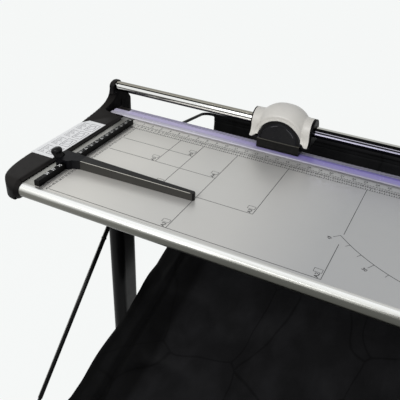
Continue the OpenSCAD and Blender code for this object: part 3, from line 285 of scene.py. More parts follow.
def clamp_lavender():
    """Tinted strip with painted shade that deepens its hue to the right of the head and a paler front edge
    painted over its shading, with oblique hatching on its rear band.
    """
    f = Finish("clamp_lavender", "#b3aacd", 0.22, spec=0.3, transmission_weight=0.15)
    low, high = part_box("clamp_strip")
    # Painted shade: the right-hand set is darker and deeper in hue past the head. Both sets have a pale front
    # edge painted over the edge's own shading.
    right = ((0.0, "#b3b0bd"), (0.04, "#9a96b4"), (0.1, "#978fc4"), (0.15, "#968bd0"), (0.5, "#8b7fce"),
             (0.56, "#54489c"), (0.66, "#4f4398"), (0.7, "#77729a"), (0.94, "#78748c"), (1.0, "#55516b"))
    left = ((0.0, "#dedce4"), (0.05, "#cfccd8"), (0.26, "#c9c4d8"), (0.3, "#a59ec4"), (0.34, "#cbc1e8"),
            (0.66, "#c0b6e0"), (0.94, "#b7aed6"), (1.0, "#7f7a94"))
    tint_and_painted_shade = f.mix(f.along("X", HEAD_X - 0.2, HEAD_X + 0.1), f.bands("Y", low.y, high.y, left),
                 f.bands("Y", low.y, high.y, right))
    hatch = f.add("ShaderNodeTexWave", Scale=52.0, Distortion=0.1)
    f.link(f.coords(turn=(0, 0, 0.9)), hatch.inputs["Vector"])
    rear = f.bands("Y", low.y, high.y, (
        (0.0, "#000000"), (0.68, "#000000"), (0.72, "#ffffff"), (0.96, "#ffffff"), (0.98, "#000000")))
    lines = f.add("ShaderNodeMath", operation="MULTIPLY")
    f.link(f.between(hatch.outputs["Fac"], 0, 0.9, 0.45, 0.75), lines.inputs[0])
    f.link(rear, lines.inputs[1])
    tint_and_painted_shade = f.mix(lines.outputs["Value"], tint_and_painted_shade, "#1f1d2c")
    ends = f.bands("X", low.x, high.x, (
        (0.0, "#ffffff"), (0.028, "#ffffff"), (0.034, "#000000"),
        (0.966, "#000000"), (0.972, "#ffffff"), (1.0, "#ffffff")))
    pale = f.mix(f.between(ends, 0, 0.55, 0, 1), tint_and_painted_shade, "#e9e6f3")
    f.paint(f.mix(f.between(f.grain(30, 4, (0.1, 1, 1)), 0, 0.1), pale, "#e4e0ee"))
    f.rough(f.between(f.grain(90, 3), 0.17, 0.28))
    return f.relief(f.grain(500, 3, LONG_X), 0.06, 0.0002, 0.0006).mat


def arm_graphite():
    """Dark enamel with painted light that makes its upright faces greyer, and painted shade that blackens its
    hollow tip.
    """
    f = Finish("arm_graphite", "#1a1918", 0.4, spec=0.14)
    # Painted light: upright faces are lighter than the top.
    painted_side_light = f.mix(f.facing("Z", 0.1, 0.8), "#363532", "#0f0e0e")
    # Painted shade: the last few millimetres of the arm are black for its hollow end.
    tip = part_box("stop_arm")[1].x - 0.004
    whole = f.mix(f.along("X", tip, tip + 0.0004), painted_side_light, "#0b0b0b")
    f.paint(f.mix(f.between(f.grain(14, 4), 0, 0.2), whole, "#22211f"))
    f.rough(f.between(f.grain(80, 4), 0.36, 0.46))
    return f.relief(f.grain(900, 1), 0.18, 0.0002, 0.001).mat


def cover_black():
    """Gloss black disc with a darker ring inside its rim and painted highlights on the slope inside the ring
    and near its outer edge, above a base with a painted highlight along its top edge.
    """
    f = Finish("cover_black", "#0a0a0c", 0.24, spec=0.1)
    level = BOARD_Z + ARCH_Z * MM
    place = f.add("ShaderNodeTexCoord")
    flat = f.add("ShaderNodeMapping", Scale=(1, 0, 1), Location=(-HEAD_X, 0, -level))
    reach = f.add("ShaderNodeVectorMath", operation="LENGTH")
    f.link(place.outputs["Object"], flat.inputs["Vector"])
    f.link(flat.outputs["Vector"], reach.inputs[0])
    # Painted highlights: the lighter step on the slope inside the ring and the light line near the rim.
    disc = f.shades(f.between(reach.outputs["Value"], 0, 1, 0.03, 0.055), (
        (0.0, "#101013"), (0.45, "#101013"), (0.47, "#1b1b1f"), (0.53, "#1b1b1f"), (0.55, "#030304"),
        (0.77, "#030304"), (0.79, "#3a3a3d"), (0.83, "#3a3a3d"), (0.85, "#050506"), (1.0, "#050506")))
    # Painted highlight: a light line along the top edge of the base.
    base = f.bands("Z", level - 0.01, level, (
        (0.0, "#0b0a09"), (0.9, "#0b0a09"), (0.94, "#55534c"), (1.0, "#55534c")))
    whole = f.mix(f.along("Z", level, level + 0.0005), base, disc)
    f.paint(f.mix(f.between(f.grain(9, 3), 0, 0.15), whole, "#141416"))
    f.rough(f.between(f.grain(60, 5), 0.2, 0.3))
    return f.relief(f.grain(1400, 2), 0.1, 0.0001, 0.0012).mat


def cap_charcoal():
    """Grained plastic with painted light that makes it greyer on top and painted shade that makes it near
    black on upright faces, ribbed where it looks along the rail.
    """
    f = Finish("cap_charcoal", "#1a1918", 0.46, spec=0.07)
    # Painted light and shade: the top is lighter and upright faces darker, by which way they face.
    faces = f.mix(f.facing("Z", 0.15, 0.85), "#080708", "#211f1e")
    ribs = f.add("ShaderNodeTexWave", bands_direction="Y", Scale=52.0)
    f.link(f.coords(), ribs.inputs["Vector"])
    ribbed = f.mix(f.between(ribs.outputs["Fac"], 0, 1, 0.3, 0.7), "#020202", "#1a191a")
    wear_and_painted_shade = f.mix(f.between(f.grain(9, 3), 0, 0.2), faces, "#242322")
    ends = f.add("ShaderNodeMath", operation="MAXIMUM")
    for i, end in enumerate((1, -1)):
        f.link(f.facing("X", 0.8 * end, 0.95 * end), ends.inputs[i])
    f.paint(f.mix(ends.outputs["Value"], wear_and_painted_shade, ribbed))
    f.link(f.between(ends.outputs["Value"], 0.07, 0.01, 0, 1), f.shader.inputs["Specular IOR Level"])
    f.rough(f.between(f.grain(60, 5), 0.42, 0.52))
    return f.relief(f.grain(1400, 2), 0.25, 0.0001, 0.002).mat


def rod_black():
    """Glossy black bar with a narrow painted highlight along its length."""
    f = Finish("rod_black", "#060607", 0.3, spec=0.1)
    # Painted highlight: a pale band on the side that faces -X.
    painted_highlight_streak = f.shades(f.facing("X", -1, 1), (
        (0.0, "#060607"), (0.2, "#060607"), (0.24, "#b5b4b0"), (0.34, "#a3a29e"),
        (0.4, "#060607"), (1.0, "#060607")))
    f.paint(f.mix(f.between(f.grain(12, 4), 0, 0.3), painted_highlight_streak, "#0c0c0d"))
    f.rough(f.between(f.grain(80, 4), 0.26, 0.36))
    return f.relief(f.grain(900, 1), 0.12, 0.0002, 0.0).mat


def sling_nylon():
    """Black woven nylon on the cloth's own UV, in metres: crossed threads, wear, painted shade in dark crease
    lines, and side borders.
    """
    f = Finish("sling_nylon", "#0a0a0b", 0.6, spec=0.04)
    threads = []
    for direction in ("X", "Y"):
        wave = f.add("ShaderNodeTexWave", bands_direction=direction, Scale=260.0, Distortion=0.4)
        f.link(f.coords(source="UV"), wave.inputs["Vector"])
        threads.append(wave.outputs["Fac"])
    weave = f.add("ShaderNodeMath", operation="MAXIMUM")
    f.link(threads[0], weave.inputs[0])
    f.link(threads[1], weave.inputs[1])
    wear = f.grain(14, 5, source="UV")
    thread = f.mix(weave.outputs["Value"], "#0f0f10", "#1a1a1b")
    cloth = f.mix(f.between(wear, 0, 0.5, 0.45, 0.8), thread, "#29292b")
    # Painted shade: near-black lines along a crease pattern, for the shade inside the cloth's wrinkles.
    creases = f.add("ShaderNodeTexVoronoi", feature="DISTANCE_TO_EDGE", Scale=5.5)
    bent = f.add("ShaderNodeMix", data_type="VECTOR")
    bent.inputs[0].default_value = 0.12
    swirl = f.add("ShaderNodeTexNoise", Scale=4.0, Detail=2.0)
    f.link(f.coords(source="UV"), swirl.inputs["Vector"])
    f.link(f.coords(source="UV"), bent.inputs[4])
    f.link(swirl.outputs["Color"], bent.inputs[5])
    f.link(bent.outputs[1], creases.inputs["Vector"])
    cloth = f.mix(f.between(creases.outputs["Distance"], 0.45, 0, 0.002, 0.012), cloth, "#020202")
    side = f.add("ShaderNodeSeparateXYZ")
    f.link(f.coords(source="UV"), side.inputs["Vector"])
    border = ((0.0, "#ffffff"), (0.018, "#ffffff"), (0.022, "#e4e4e4"),
              (0.052, "#e4e4e4"), (0.055, "#ffffff"), (0.062, "#ffffff"),
              (0.065, "#e4e4e4"), (0.105, "#e4e4e4"), (0.12, "#000000"))
    mirrored = tuple((1 - at, code) for at, code in reversed(border))
    band = f.shades(f.between(side.outputs["X"], 0, 1, 0, SLING_W), border + mirrored)
    f.paint(f.mix(f.between(band, 0, 0.85, 0, 1), cloth, "#020202"))
    f.rough(f.between(wear, 0.46, 0.6))
    return f.relief(weave.outputs["Value"], 0.3, 0.0003).mat


def rubber(name, dark, light):
    """Matt rubber with a coarse grain."""
    f = Finish(name, dark, 0.75, spec=0.2)
    f.paint(f.mix(f.between(f.grain(60, 4), 0, 1), dark, light))
    return f.relief(f.grain(700, 3), 0.4, 0.0002, 0.001).mat


def print_ink(name, code, light):
    """Flat ink, slightly uneven."""
    f = Finish(name, code, 0.55)
    f.paint(f.mix(f.between(f.grain(900, 3), 0, 1), code, light))
    return f.mat


FINISHES = {
    "board": board_lacquer(),
    "nose": nose_aluminium(),
    "channel": drawn_metal("channel_aluminium", "#9a9994", "#aaa9a5", 0.34, LONG_Y),
    "chrome": rail_chrome(),
    "steel": drawn_metal("ground_steel", "#8a8a8a", "#a8a8a8", 0.28, LONG_X),
    "zinc": drawn_metal("zinc_plate", "#8f8f8c", "#b4b3ae", 0.36, (1, 1, 1)),
    "black_zinc": drawn_metal("black_zinc", "#161616", "#242424", 0.4, (1, 1, 1)),
    "cast": drawn_metal("cast_aluminium", "#1f1f20", "#2c2c2d", 0.5, (1, 1, 1)),
    "frame": painted("frame_black", "#040405", "#080809", 0.34, spec=0.08),
    "rod": rod_black(),
    "cap": cap_charcoal(),
    "label": moulded("label_white", "#eff0f0", "#f7f7f7", 0.38, 400, 0.05),
    "ruler": painted("ruler_black", "#040404", "#090909", 0.34, spec=0.08),
    "shell": moulded("shell_ivory", "#c8c5be", "#d0cdc7", 0.42, strength=0.12, edge=0.0015),
    "cover": cover_black(),
    "lip": moulded("lip_black", "#030303", "#060607", 0.4, spec=0.04),
    "bush": moulded("bush_grey", "#1a1b1d", "#262729", 0.5, spec=0.25),
    "clamp": clamp_lavender(),
    "pad": rubber("pad_rubber", "#0b0b0c", "#151516"),
    "stop": moulded("stop_black", "#07070a", "#0c0d10", 0.34, edge=0.0015, spec=0.07),
    "arm": arm_graphite(),
    "knob": moulded("knob_black", "#050506", "#0a0a0c", 0.32, edge=0.0015, spec=0.14),
    "nylon": sling_nylon(),
    # Painted highlight along the arm's front top edge
    "edge_highlight": print_ink("painted_edge_highlight", "#d6d3c9", "#c4c1b7"),
    # Painted highlight arcs on the blade cover
    "painted_gleam": moulded("painted_gleam", "#5c5c60", "#6c6c70", 0.2, strength=0.05, edge=0.0),
    "ink": print_ink("print_ink", "#1c1c1e", "#28282a"),
    "faint_ink": print_ink("label_ink", "#6d6c70", "#858387"),
    "white_ink": print_ink("scale_white", "#f4f4f2", "#e6e6e4"),
}
NODE_FINISH = {
    "board": "table_panel", "nose": "front_nose", "channel": "side_channel", "chrome": "guide_rail",
    "steel": "lower_blade rotary_blade blade_axle blade_spring lock_shoe",
    "zinc": "lower_blade_screws cap_screws rail_bolts bracket_bolts crossbar_bolts cover_screws lock_screw",
    "black_zinc": "ruler_screws",
    "cast": "carriage",
    "frame": "rear_beam cross_members leg_left leg_right leg_brackets foot_left foot_right crossbar "
             "rear_sockets front_sockets rear_rod",
    "rod": "front_rod",
    "cap": "end_cap_left end_cap_right", "label": "label_plate", "ruler": "side_ruler",
    "shell": "head_shell", "cover": "blade_cover",
    "lip": "end_lip_left end_lip_right foot_plugs",
    "bush": "glide_bush_left glide_bush_right rail_key blade_hub",
    "clamp": "clamp_strip", "pad": "foot_pads", "stop": "stop_head", "arm": "stop_arm", "knob": "lock_knob",
}
for key, names in NODE_FINISH.items():
    for name in names.split():
        mesh = nodes[name].data
        mesh.materials.clear()
        mesh.materials.append(FINISHES[key])


# Making and placing pieces

def piece(name, bm, finish, body, smooth=True):
    """Turns a bmesh into a named piece that rides on a body."""
    mesh = bpy.data.meshes.new(name)
    bm.to_mesh(mesh)
    bm.free()
    mesh.materials.append(FINISHES[finish])
    if smooth:
        mesh.shade_smooth()
    obj = bpy.data.objects.new(name, mesh)
    scene.collection.objects.link(obj)
    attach(obj, body)
    return obj


def thicken(obj, thickness, offset=0.0):
    """Gives a sheet a wall: offset -1 inwards, 0 both ways, 1 outwards."""
    wall = obj.modifiers.new("wall", "SOLIDIFY")
    wall.thickness = thickness
    wall.offset = offset
    return obj


# Head: the shell as a smooth skin over the rail, arched round the blade cover. Sizes in millimetres

RAIL_AT = middle("guide_rail").z
RAIL_UP = (RAIL_AT - BOARD_Z) / MM
SLEEVE_R, HUMP_R, HUMP_END, SHELL_FRONT = 29.0, 50.0, 51.0, 37.0
SHELL_LOW, SHELL_HALF, FOOT_FLARE = 33.0, 70.0, 10.0
SHELL_WALL, SHELL_EDGE, SHELL_SHORT = 2.6, 0.9, 2.5
# Powers of the hump's outline and the feet's flare, and the hump's run-out onto the sleeves
HUMP_FULL, FLARE_CURL, HUMP_RUN_OUT = 2.5, 3.5, 0.04
ARCH_R, FRONT_SOFT = 53.0, 7
# Share of the section's run that each upright foot takes, and of the skin's over which the arch blends out
FOOT_SHARE, ARCH_BLEND = 0.2, 0.45
# Height, distance from the arch's centre and width, of the ridge round the arch and the hollow inside it
RIDGE, HOLLOW = (2.0, 64, 3.5), (-0.6, 57.5, 2.5)
FOOT_LIFT, FOOT_SPREAD = 5, 6
LIP_INSIDE, LIP_INSET, LIP_WALL, LIP_EDGE = 5, 0.5, 3.0, 1.2
LIP_LEFT, LIP_RIGHT = 2.0, 3.5


def soft_min(a, b, k):
    """The smaller of two values, blended over k where they are close."""
    h = min(1, max(0, 0.5 + 0.5 * (b - a) / k))
    return b + (a - b) * h - k * h * (1 - h)


def shell_radius(x):
    """Radius about the rail, from the hump's middle out to the sleeves."""
    crown = 1 - abs(x / HUMP_END) ** HUMP_FULL
    return SLEEVE_R + (HUMP_R - SLEEVE_R) * max(crown, HUMP_RUN_OUT * math.exp(min(0, crown) * 4))


def shell_section(x, t, radius=None, flare=FOOT_FLARE, inset=0.0):
    """Point of the shell's section at x, t from its front foot (0) over the top to its rear (1)."""
    r = (radius or shell_radius(x)) - inset
    if t < FOOT_SHARE:
        k = t / FOOT_SHARE
        y = -soft_min(r, SHELL_FRONT, FRONT_SOFT) - flare * (1 - k) ** FLARE_CURL
        z = SHELL_LOW + (RAIL_UP - SHELL_LOW) * k
    elif t < 1 - FOOT_SHARE:
        turn = math.pi * (1 - (t - FOOT_SHARE) / (1 - 2 * FOOT_SHARE))
        y, z = r * math.cos(turn), RAIL_UP + r * math.sin(turn)
        if y < 0:
            y = -soft_min(-y, SHELL_FRONT, FRONT_SOFT * min(1, -y / r * 1.5))
    else:
        k = (t - (1 - FOOT_SHARE)) / FOOT_SHARE
        y, z = r, RAIL_UP - (RAIL_UP - SHELL_LOW) * k
    if t < 0.5 and radius is None:
        out = math.hypot(x, z - ARCH_Z)
        raised = sum(height * math.exp(-((out - at) / width) ** 2) for height, at, width in (RIDGE, HOLLOW))
        y -= raised * min(1, -y / SHELL_FRONT)
    return y, z


def front_edge(s):
    """Place of the shell's front edge, s from 0 at the left foot to 1 at the right."""
    foot = SHELL_HALF - ARCH_R
    arch = math.pi * ARCH_R
    run = s * (2 * foot + arch)
    turn = math.pi - min(arch, max(0, run - foot)) / ARCH_R
    x = ARCH_R * math.cos(turn) + min(0, run - foot) + max(0, run - foot - arch)
    lift = FOOT_LIFT * math.exp(-((abs(x) - ARCH_R) / FOOT_SPREAD) ** 2)
    return x, max(SHELL_LOW + lift, ARCH_Z + ARCH_R * math.sin(turn))


def section_at_height(x, z):
    """Place t on the front of the section at x where it reaches a height."""
    low, high = 0.0, 0.5
    for _ in range(30):
        mid = (low + high) / 2
        if shell_section(x, mid)[1] < z:
            low = mid
        else:
            high = mid
    return low


def skin(name, finish, columns, rows, place, wall, round_edge):
    """A grid bent by place(s, q) in the head's frame, given a wall inwards and round edges."""
    bm = bmesh.new()
    bmesh.ops.create_grid(bm, x_segments=columns, y_segments=rows, size=0.5)
    for vert in bm.verts:
        x, y, z = place(vert.co.x + 0.5, vert.co.y + 0.5)
        vert.co = (HEAD_X + x * MM, CUT_Y + y * MM, BOARD_Z + z * MM)
    axis = Vector((HEAD_X, CUT_Y, RAIL_AT))
    bm.normal_update()
    outward = sum(f.normal.dot((f.calc_center_median() - axis) * Vector((0, 1, 1))) for f in bm.faces)
    if outward < 0:
        bmesh.ops.reverse_faces(bm, faces=bm.faces)
    obj = thicken(piece(name, bm, finish, "head"), wall * MM, -1.0)
    edge = obj.modifiers.new("edge", "BEVEL")
    edge.width = round_edge * MM
    edge.segments = 3
    edge.limit_method = "ANGLE"
    edge.angle_limit = math.radians(60)
    return obj


def shell_place(s, q):
    """Point of the shell, s along the head and q from the front edge over to the rear."""
    x_low, z_low = front_edge(s)
    x_top = -SHELL_HALF + (2 * SHELL_HALF - SHELL_SHORT) * s
    k = min(1, q / ARCH_BLEND)
    x = x_low + (x_top - x_low) * k * k * (3 - 2 * k)
    start = section_at_height(x_low, z_low)
    return (x, *shell_section(x, start + (1 - start) * q))


def lip_place(side, length):
    """Points of a rim that starts inside a sleeve's end and stands out of it by a length."""
    def place(s, q):
        x = side * (SHELL_HALF - LIP_INSIDE + (length + LIP_INSIDE) * s)
        return (x, *shell_section(x, q, SLEEVE_R, 0.0, LIP_INSET))
    return place


shell = skin("shell_skin", "shell", 140, 72, shell_place, SHELL_WALL, SHELL_EDGE)
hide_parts("head_shell")
for side, name, length in ((-1, "left", LIP_LEFT), (1, "right", LIP_RIGHT)):
    skin("lip_rim_" + name, "lip", 6, 64, lip_place(side, length), LIP_WALL, LIP_EDGE)


def arc_bar(name, finish, r, start, end, at, width):
    """Round wire bent to an arc in an upright plane of the head, angles in degrees."""
    bm = bmesh.new()
    place = (Matrix.Translation(at) @ Matrix.Rotation(math.radians(-start), 4, "Y")
             @ Matrix.Translation((r * MM, 0, 0)))
    bmesh.ops.create_circle(bm, cap_ends=False, segments=8, radius=width / 2 * MM, matrix=place)
    bmesh.ops.spin(bm, geom=bm.verts[:] + bm.edges[:], cent=at, axis=(0, -1, 0),
                   angle=math.radians(end - start), steps=48)
    bmesh.ops.holes_fill(bm, edges=bm.edges)
    bmesh.ops.recalc_face_normals(bm, faces=bm.faces)
    return piece(name, bm, finish, "head")


# Painted highlights: short light-coloured arcs on the cover's face, for gloss caught on its groove.
GLEAM_R, GLEAM_W, GLEAM_SUNK = 39, 0.8, 1.6
GLEAM_AT = Vector((HEAD_X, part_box("blade_cover")[0].y + GLEAM_SUNK * MM, BOARD_Z + ARCH_Z * MM))
for name, start, end in (("left", 98, 122), ("right", 28, 66)):
    arc_bar("cover_gleam_" + name, "painted_gleam", GLEAM_R, start, end, GLEAM_AT, GLEAM_W)


# End caps with their edges rounded over

CAP_VOXEL, CAP_ROUNDS = 1.5, 14


def rounded_copy(node, name, finish, voxel, rounds):
    """A copy of a node's mesh, remeshed and smoothed, that stands for it."""
    bm = bmesh.new()
    bm.from_mesh(nodes[node].data)
    bmesh.ops.remove_doubles(bm, verts=bm.verts, dist=1e-6)
    obj = piece(name, bm, finish, "table_stand")
    remesh = obj.modifiers.new("remesh", "REMESH")
    remesh.mode = "VOXEL"
    remesh.voxel_size = voxel * MM
    remesh.use_smooth_shade = True
    soften = obj.modifiers.new("soften", "SMOOTH")
    soften.factor = 0.5
    soften.iterations = rounds
    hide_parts(node)
    return obj


for side in ("left", "right"):
    rounded_copy("end_cap_" + side, "cap_body_" + side, "cap", CAP_VOXEL, CAP_ROUNDS)


TABLE_DEPTH, NOSE_R = 0.43, 0.015
COLLAR_ROOT, COLLAR_W, COLLAR_LOW, COLLAR_HIGH = 0.001, 0.0075, 0.0154, 0.0222
COLLAR_TURN = math.radians(195)


def nose_collar(name, end, inward):
    """The cap's sloped lip carried round an end of the front nose, from the table's top to its underside."""
    axis = Vector((0, CUT_Y - TABLE_DEPTH, BOARD_Z - NOSE_R))
    bm = bmesh.new()
    root, tip = end - inward * COLLAR_ROOT, end + inward * COLLAR_W
    profile = [(root, COLLAR_LOW), (tip, COLLAR_LOW), (root, COLLAR_HIGH)]
    verts = [bmesh.ops.create_vert(bm, co=(x, axis.y, axis.z + r))["vert"][0] for x, r in profile]
    edges = [bmesh.ops.contextual_create(bm, geom=[verts[i], verts[i - 1]])["edges"][0] for i in range(3)]
    bmesh.ops.spin(bm, geom=verts + edges, cent=axis, axis=(1, 0, 0), angle=COLLAR_TURN, steps=36)
    bmesh.ops.holes_fill(bm, edges=bm.edges)
    bmesh.ops.recalc_face_normals(bm, faces=bm.faces)
    return piece(name, bm, "cap", "table_stand", smooth=False)


nose_low, nose_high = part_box("front_nose")
nose_collar("cap_collar_left", nose_low.x, 1)
nose_collar("cap_collar_right", nose_high.x, -1)


# Painted highlight: a pale strip along the front of the arm's top, which falls and narrows towards the tip

EDGE_W, EDGE_H = 0.0009, 0.0006
EDGE_ROOT, EDGE_TIP = Vector((0.002, 0, 0.0207)), Vector((-0.008, -0.0141, 0.0169))


def arm_edge():
    low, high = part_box("stop_arm")
    bm = bmesh.new()
    a, b = low + EDGE_ROOT, Vector((high.x, high.y, low.z)) + EDGE_TIP
    along = b - a
    place = Matrix.Translation((a + b) / 2) @ along.to_track_quat("X", "Z").to_matrix().to_4x4()
    bmesh.ops.create_cube(bm, size=1, matrix=place @ Matrix.Diagonal((along.length, EDGE_W, EDGE_H, 1)))
    return piece("arm_edge", bm, "edge_highlight", "stop", smooth=False)


arm_edge()


# Catch sling: the cloth follows the same run as its solid, from rod to rod

TAB_END, ROD_R = 0.01565, 0.004
REAR_ROD, FRONT_ROD = Vector((0.2, -0.0565)), Vector((-0.6, -0.469))
REAR_TOP, FRONT_TOP = REAR_ROD - Vector((0, TAB_END)), FRONT_ROD - Vector((0, TAB_END))
KNEE, LOW_RUN = Vector((-0.074, -0.349)), Vector((-0.51, -0.492))
SHEET_RUNS = (
    (REAR_TOP, REAR_TOP + Vector((0, -0.13)), KNEE + Vector((0.134, 0.049)), KNEE),
    (KNEE, KNEE + Vector((-0.15, -0.055)), LOW_RUN + Vector((0.13, 0.035)), LOW_RUN),
    (LOW_RUN, LOW_RUN + Vector((-0.05, -0.013)), FRONT_TOP + Vector((0, -0.024)), FRONT_TOP),
)
SAG, FOLD_H, FOLDS = 0.022, 0.007, 5
CREASE_H, FINE_H, LOOSE_EDGE = 0.007, 0.002, 0.008
# Height of the side pleat's ridge and of its hollow, each with its distance from the cloth's edge
PLEAT, PLEAT_W = ((0.005, 0.06), (-0.004, 0.048)), 0.006
CLOTH_T, HEM_T = 0.0009, 0.0007
# Hem: its loop's distance from the rod, where its flat tab starts below, and the loop's share of its run
HEM_OFF, TAB_START, LOOP_SHARE = 0.0013, ROD_R + 0.0012, 0.7
TAB_HALF, PUCKER = 0.0009, 0.0005


def sheet_run(v):
    """Point and lower-side normal of the side view at v from 0 to 1."""
    s = min(2, int(v * 3))
    a, b, c, d = SHEET_RUNS[s]
    t = v * 3 - s
    q = 1 - t
    at = a * q ** 3 + b * (3 * t * q * q) + c * (3 * t * t * q) + d * t ** 3
    slope = (b - a) * (q * q) + (c - b) * (2 * t * q) + (d - c) * (t * t)
    return at, Vector((-slope.y, slope.x)).normalized()


def run_length(parts=600):
    """Length of the side view's run from rod to rod."""
    points = [sheet_run(i / parts)[0] for i in range(parts + 1)]
    return sum((b - a).length for a, b in zip(points, points[1:]))


SHEET_LEN = run_length()


def crease(u, v):
    """Small sharp creases that run aslant over the cloth and fade at the rods, and a pleat near each side."""
    aslant = Vector((u * 9 + v * 2.2, v * 7 - u * 1.5, 0.7))
    ridge = 1 - abs(noise.noise(aslant))
    fine = 1 - abs(noise.noise(aslant * 2.7))
    side = min(u, 1 - u) * SLING_W
    pleat = sum(height * math.exp(-((side - at) / PLEAT_W) ** 2) for height, at in PLEAT)
    return math.sin(math.pi * v) ** 0.7 * (CREASE_H * (ridge ** 7 - 0.3) + FINE_H * (fine ** 6 - 0.3) + pleat)


def sling_cloth():
    """The cloth between the hems, sagging and folded as its solid is, with creases and loose side edges."""
    bm = bmesh.new()
    bmesh.ops.create_grid(bm, x_segments=150, y_segments=132, size=0.5)
    uv = bm.loops.layers.uv.new("cloth")
    for face in bm.faces:
        for loop in face.loops:
            u, v = loop.vert.co.x + 0.5, loop.vert.co.y + 0.5
            loop[uv].uv = (u * SLING_W, v * SHEET_LEN)
    for vert in bm.verts:
        u, v = vert.co.x + 0.5, vert.co.y + 0.5
        at, normal = sheet_run(v)
        bow = math.sin(math.pi * v) * (
            SAG * (1 - (2 * u - 1) ** 2) + FOLD_H * math.sin(2 * math.pi * (FOLDS * u + v)))
        at = at + normal * (bow + crease(u, v))
        loose = abs(2 * u - 1) ** 12 * math.sin(math.pi * v)
        ripple = loose * LOOSE_EDGE * noise.noise(Vector((round(u), v * 11, 0.3)))
        vert.co = (-SLING_W / 2 + SLING_W * u + ripple, at.x + CUT_Y, at.y + BOARD_Z)
    bmesh.ops.recalc_face_normals(bm, faces=bm.faces)
    return piece("sling_cloth", bm, "nylon", "table_stand")


def sling_hem(name, rod):
    """Sewn sleeve round a rod, puckered along its length, closing to a flat tab."""
    bm = bmesh.new()
    bmesh.ops.create_grid(bm, x_segments=180, y_segments=36, size=0.5)
    uv = bm.loops.layers.uv.new("cloth")
    ring = 2 * math.pi * (ROD_R + CLOTH_T)
    for face in bm.faces:
        for loop in face.loops:
            loop[uv].uv = ((loop.vert.co.x + 0.5) * SLING_W, (loop.vert.co.y + 0.5) * 2 * ring)
    for vert in bm.verts:
        u, v = vert.co.x + 0.5, vert.co.y + 0.5
        pucker = PUCKER * noise.noise(Vector((u * 60, v * 3, rod.x)))
        side = 1 if v > 0.5 else -1
        flap = (abs(v - 0.5) * 2 - LOOP_SHARE) / (1 - LOOP_SHARE)
        if flap > 0:
            y = side * (TAB_HALF + pucker * 0.4)
            z = -TAB_START - flap * (TAB_END - TAB_START)
        else:
            turn = math.pi / 2 - (v - 0.5) * 2 * math.pi / LOOP_SHARE * 0.96
            r = ROD_R + HEM_OFF + abs(pucker)
            y, z = r * math.cos(turn), r * math.sin(turn)
        vert.co = (-SLING_W / 2 + SLING_W * u, y + rod.x + CUT_Y, z + rod.y + BOARD_Z)
    bmesh.ops.recalc_face_normals(bm, faces=bm.faces)
    return piece(name, bm, "nylon", "table_stand")


cloth = thicken(sling_cloth(), CLOTH_T)
hems = [thicken(sling_hem("sling_hem_rear", REAR_ROD), HEM_T, 1.0),
        thicken(sling_hem("sling_hem_front", FRONT_ROD), HEM_T, 1.0)]
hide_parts("catch_sling")
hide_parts("rear_hem")
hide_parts("front_hem")


# Sleeves on the front rod's arms, each with a joint ring. Lengths run up the arm from the rod's cross part

SLEEVE_FROM, SLEEVE_T, SOCKET_GAP = 0.032, 0.0012, 0.006
RING_DOWN, RING_W, RING_T = 0.11, 0.004, 0.0022


def rod_sleeve(name, x):
    start = Vector((x, FRONT_ROD.x + CUT_Y, FRONT_ROD.y + BOARD_Z))
    along = Vector((0, 1, 1)).normalized()
    top = (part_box("front_sockets")[0].z - start.z) / along.z - SOCKET_GAP
    ring = top - RING_DOWN
    turn = along.to_track_quat("Z", "Y").to_matrix().to_4x4()
    bm = bmesh.new()
    for a, b, r in ((SLEEVE_FROM, top, ROD_R + SLEEVE_T), (ring, ring + RING_W, ROD_R + RING_T)):
        place = Matrix.Translation(start + along * (a + b) / 2) @ turn
        bmesh.ops.create_cone(bm, cap_ends=True, segments=32, radius1=r, radius2=r, depth=b - a, matrix=place)
    return piece(name, bm, "rod", "table_stand")


rod_sleeve("rod_sleeve_left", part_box("front_rod")[0].x + ROD_R)
rod_sleeve("rod_sleeve_right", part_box("front_rod")[1].x - ROD_R)


# Foam pads under the clamp strip

PAD_LEN, PAD_EDGE = 0.03, 0.0009


def foam_pads():
    low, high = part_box("clamp_pads")
    size = Vector((PAD_LEN, high.y - low.y, high.z - low.z))
    bm = bmesh.new()
    for x in (low.x + size.x / 2, high.x - size.x / 2):
        place = Matrix.Translation((x, (low.y + high.y) / 2, (low.z + high.z) / 2))
        made = bmesh.ops.create_cube(bm, size=1, matrix=place @ Matrix.Diagonal((*size, 1)))
        # Each edge once, in a fixed order
        edges = dict.fromkeys(e for v in made["verts"] for e in v.link_edges)
        bmesh.ops.bevel(bm, geom=list(edges), offset=PAD_EDGE, offset_type="OFFSET", affect="EDGES",
                        segments=3, profile=0.5, material=-1)
    return piece("clamp_foam", bm, "pad", "table_stand")


foam = foam_pads()
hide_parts("clamp_pads")
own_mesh(foam)


# Print on the board, the ruler and the label

INK_UP, INK_T = 0.00005, 0.00008
PRINT_Z = BOARD_Z + INK_UP


def line(bm, start, end, width, z=PRINT_Z):
    """Flat strip between two points of the table's frame, in millimetres."""
    a, b = Vector(start) * MM, Vector(end) * MM
    along = b - a
    centre = (a + b) / 2
    place = Matrix.Translation((centre.x + RULER_X, centre.y + CUT_Y, z))
    turn = Matrix.Rotation(math.atan2(along.y, along.x), 4, "Z")
    bmesh.ops.create_grid(bm, x_segments=1, y_segments=1, size=0.5,
                          matrix=place @ turn @ Matrix.Diagonal((along.length, width * MM, 1, 1)))


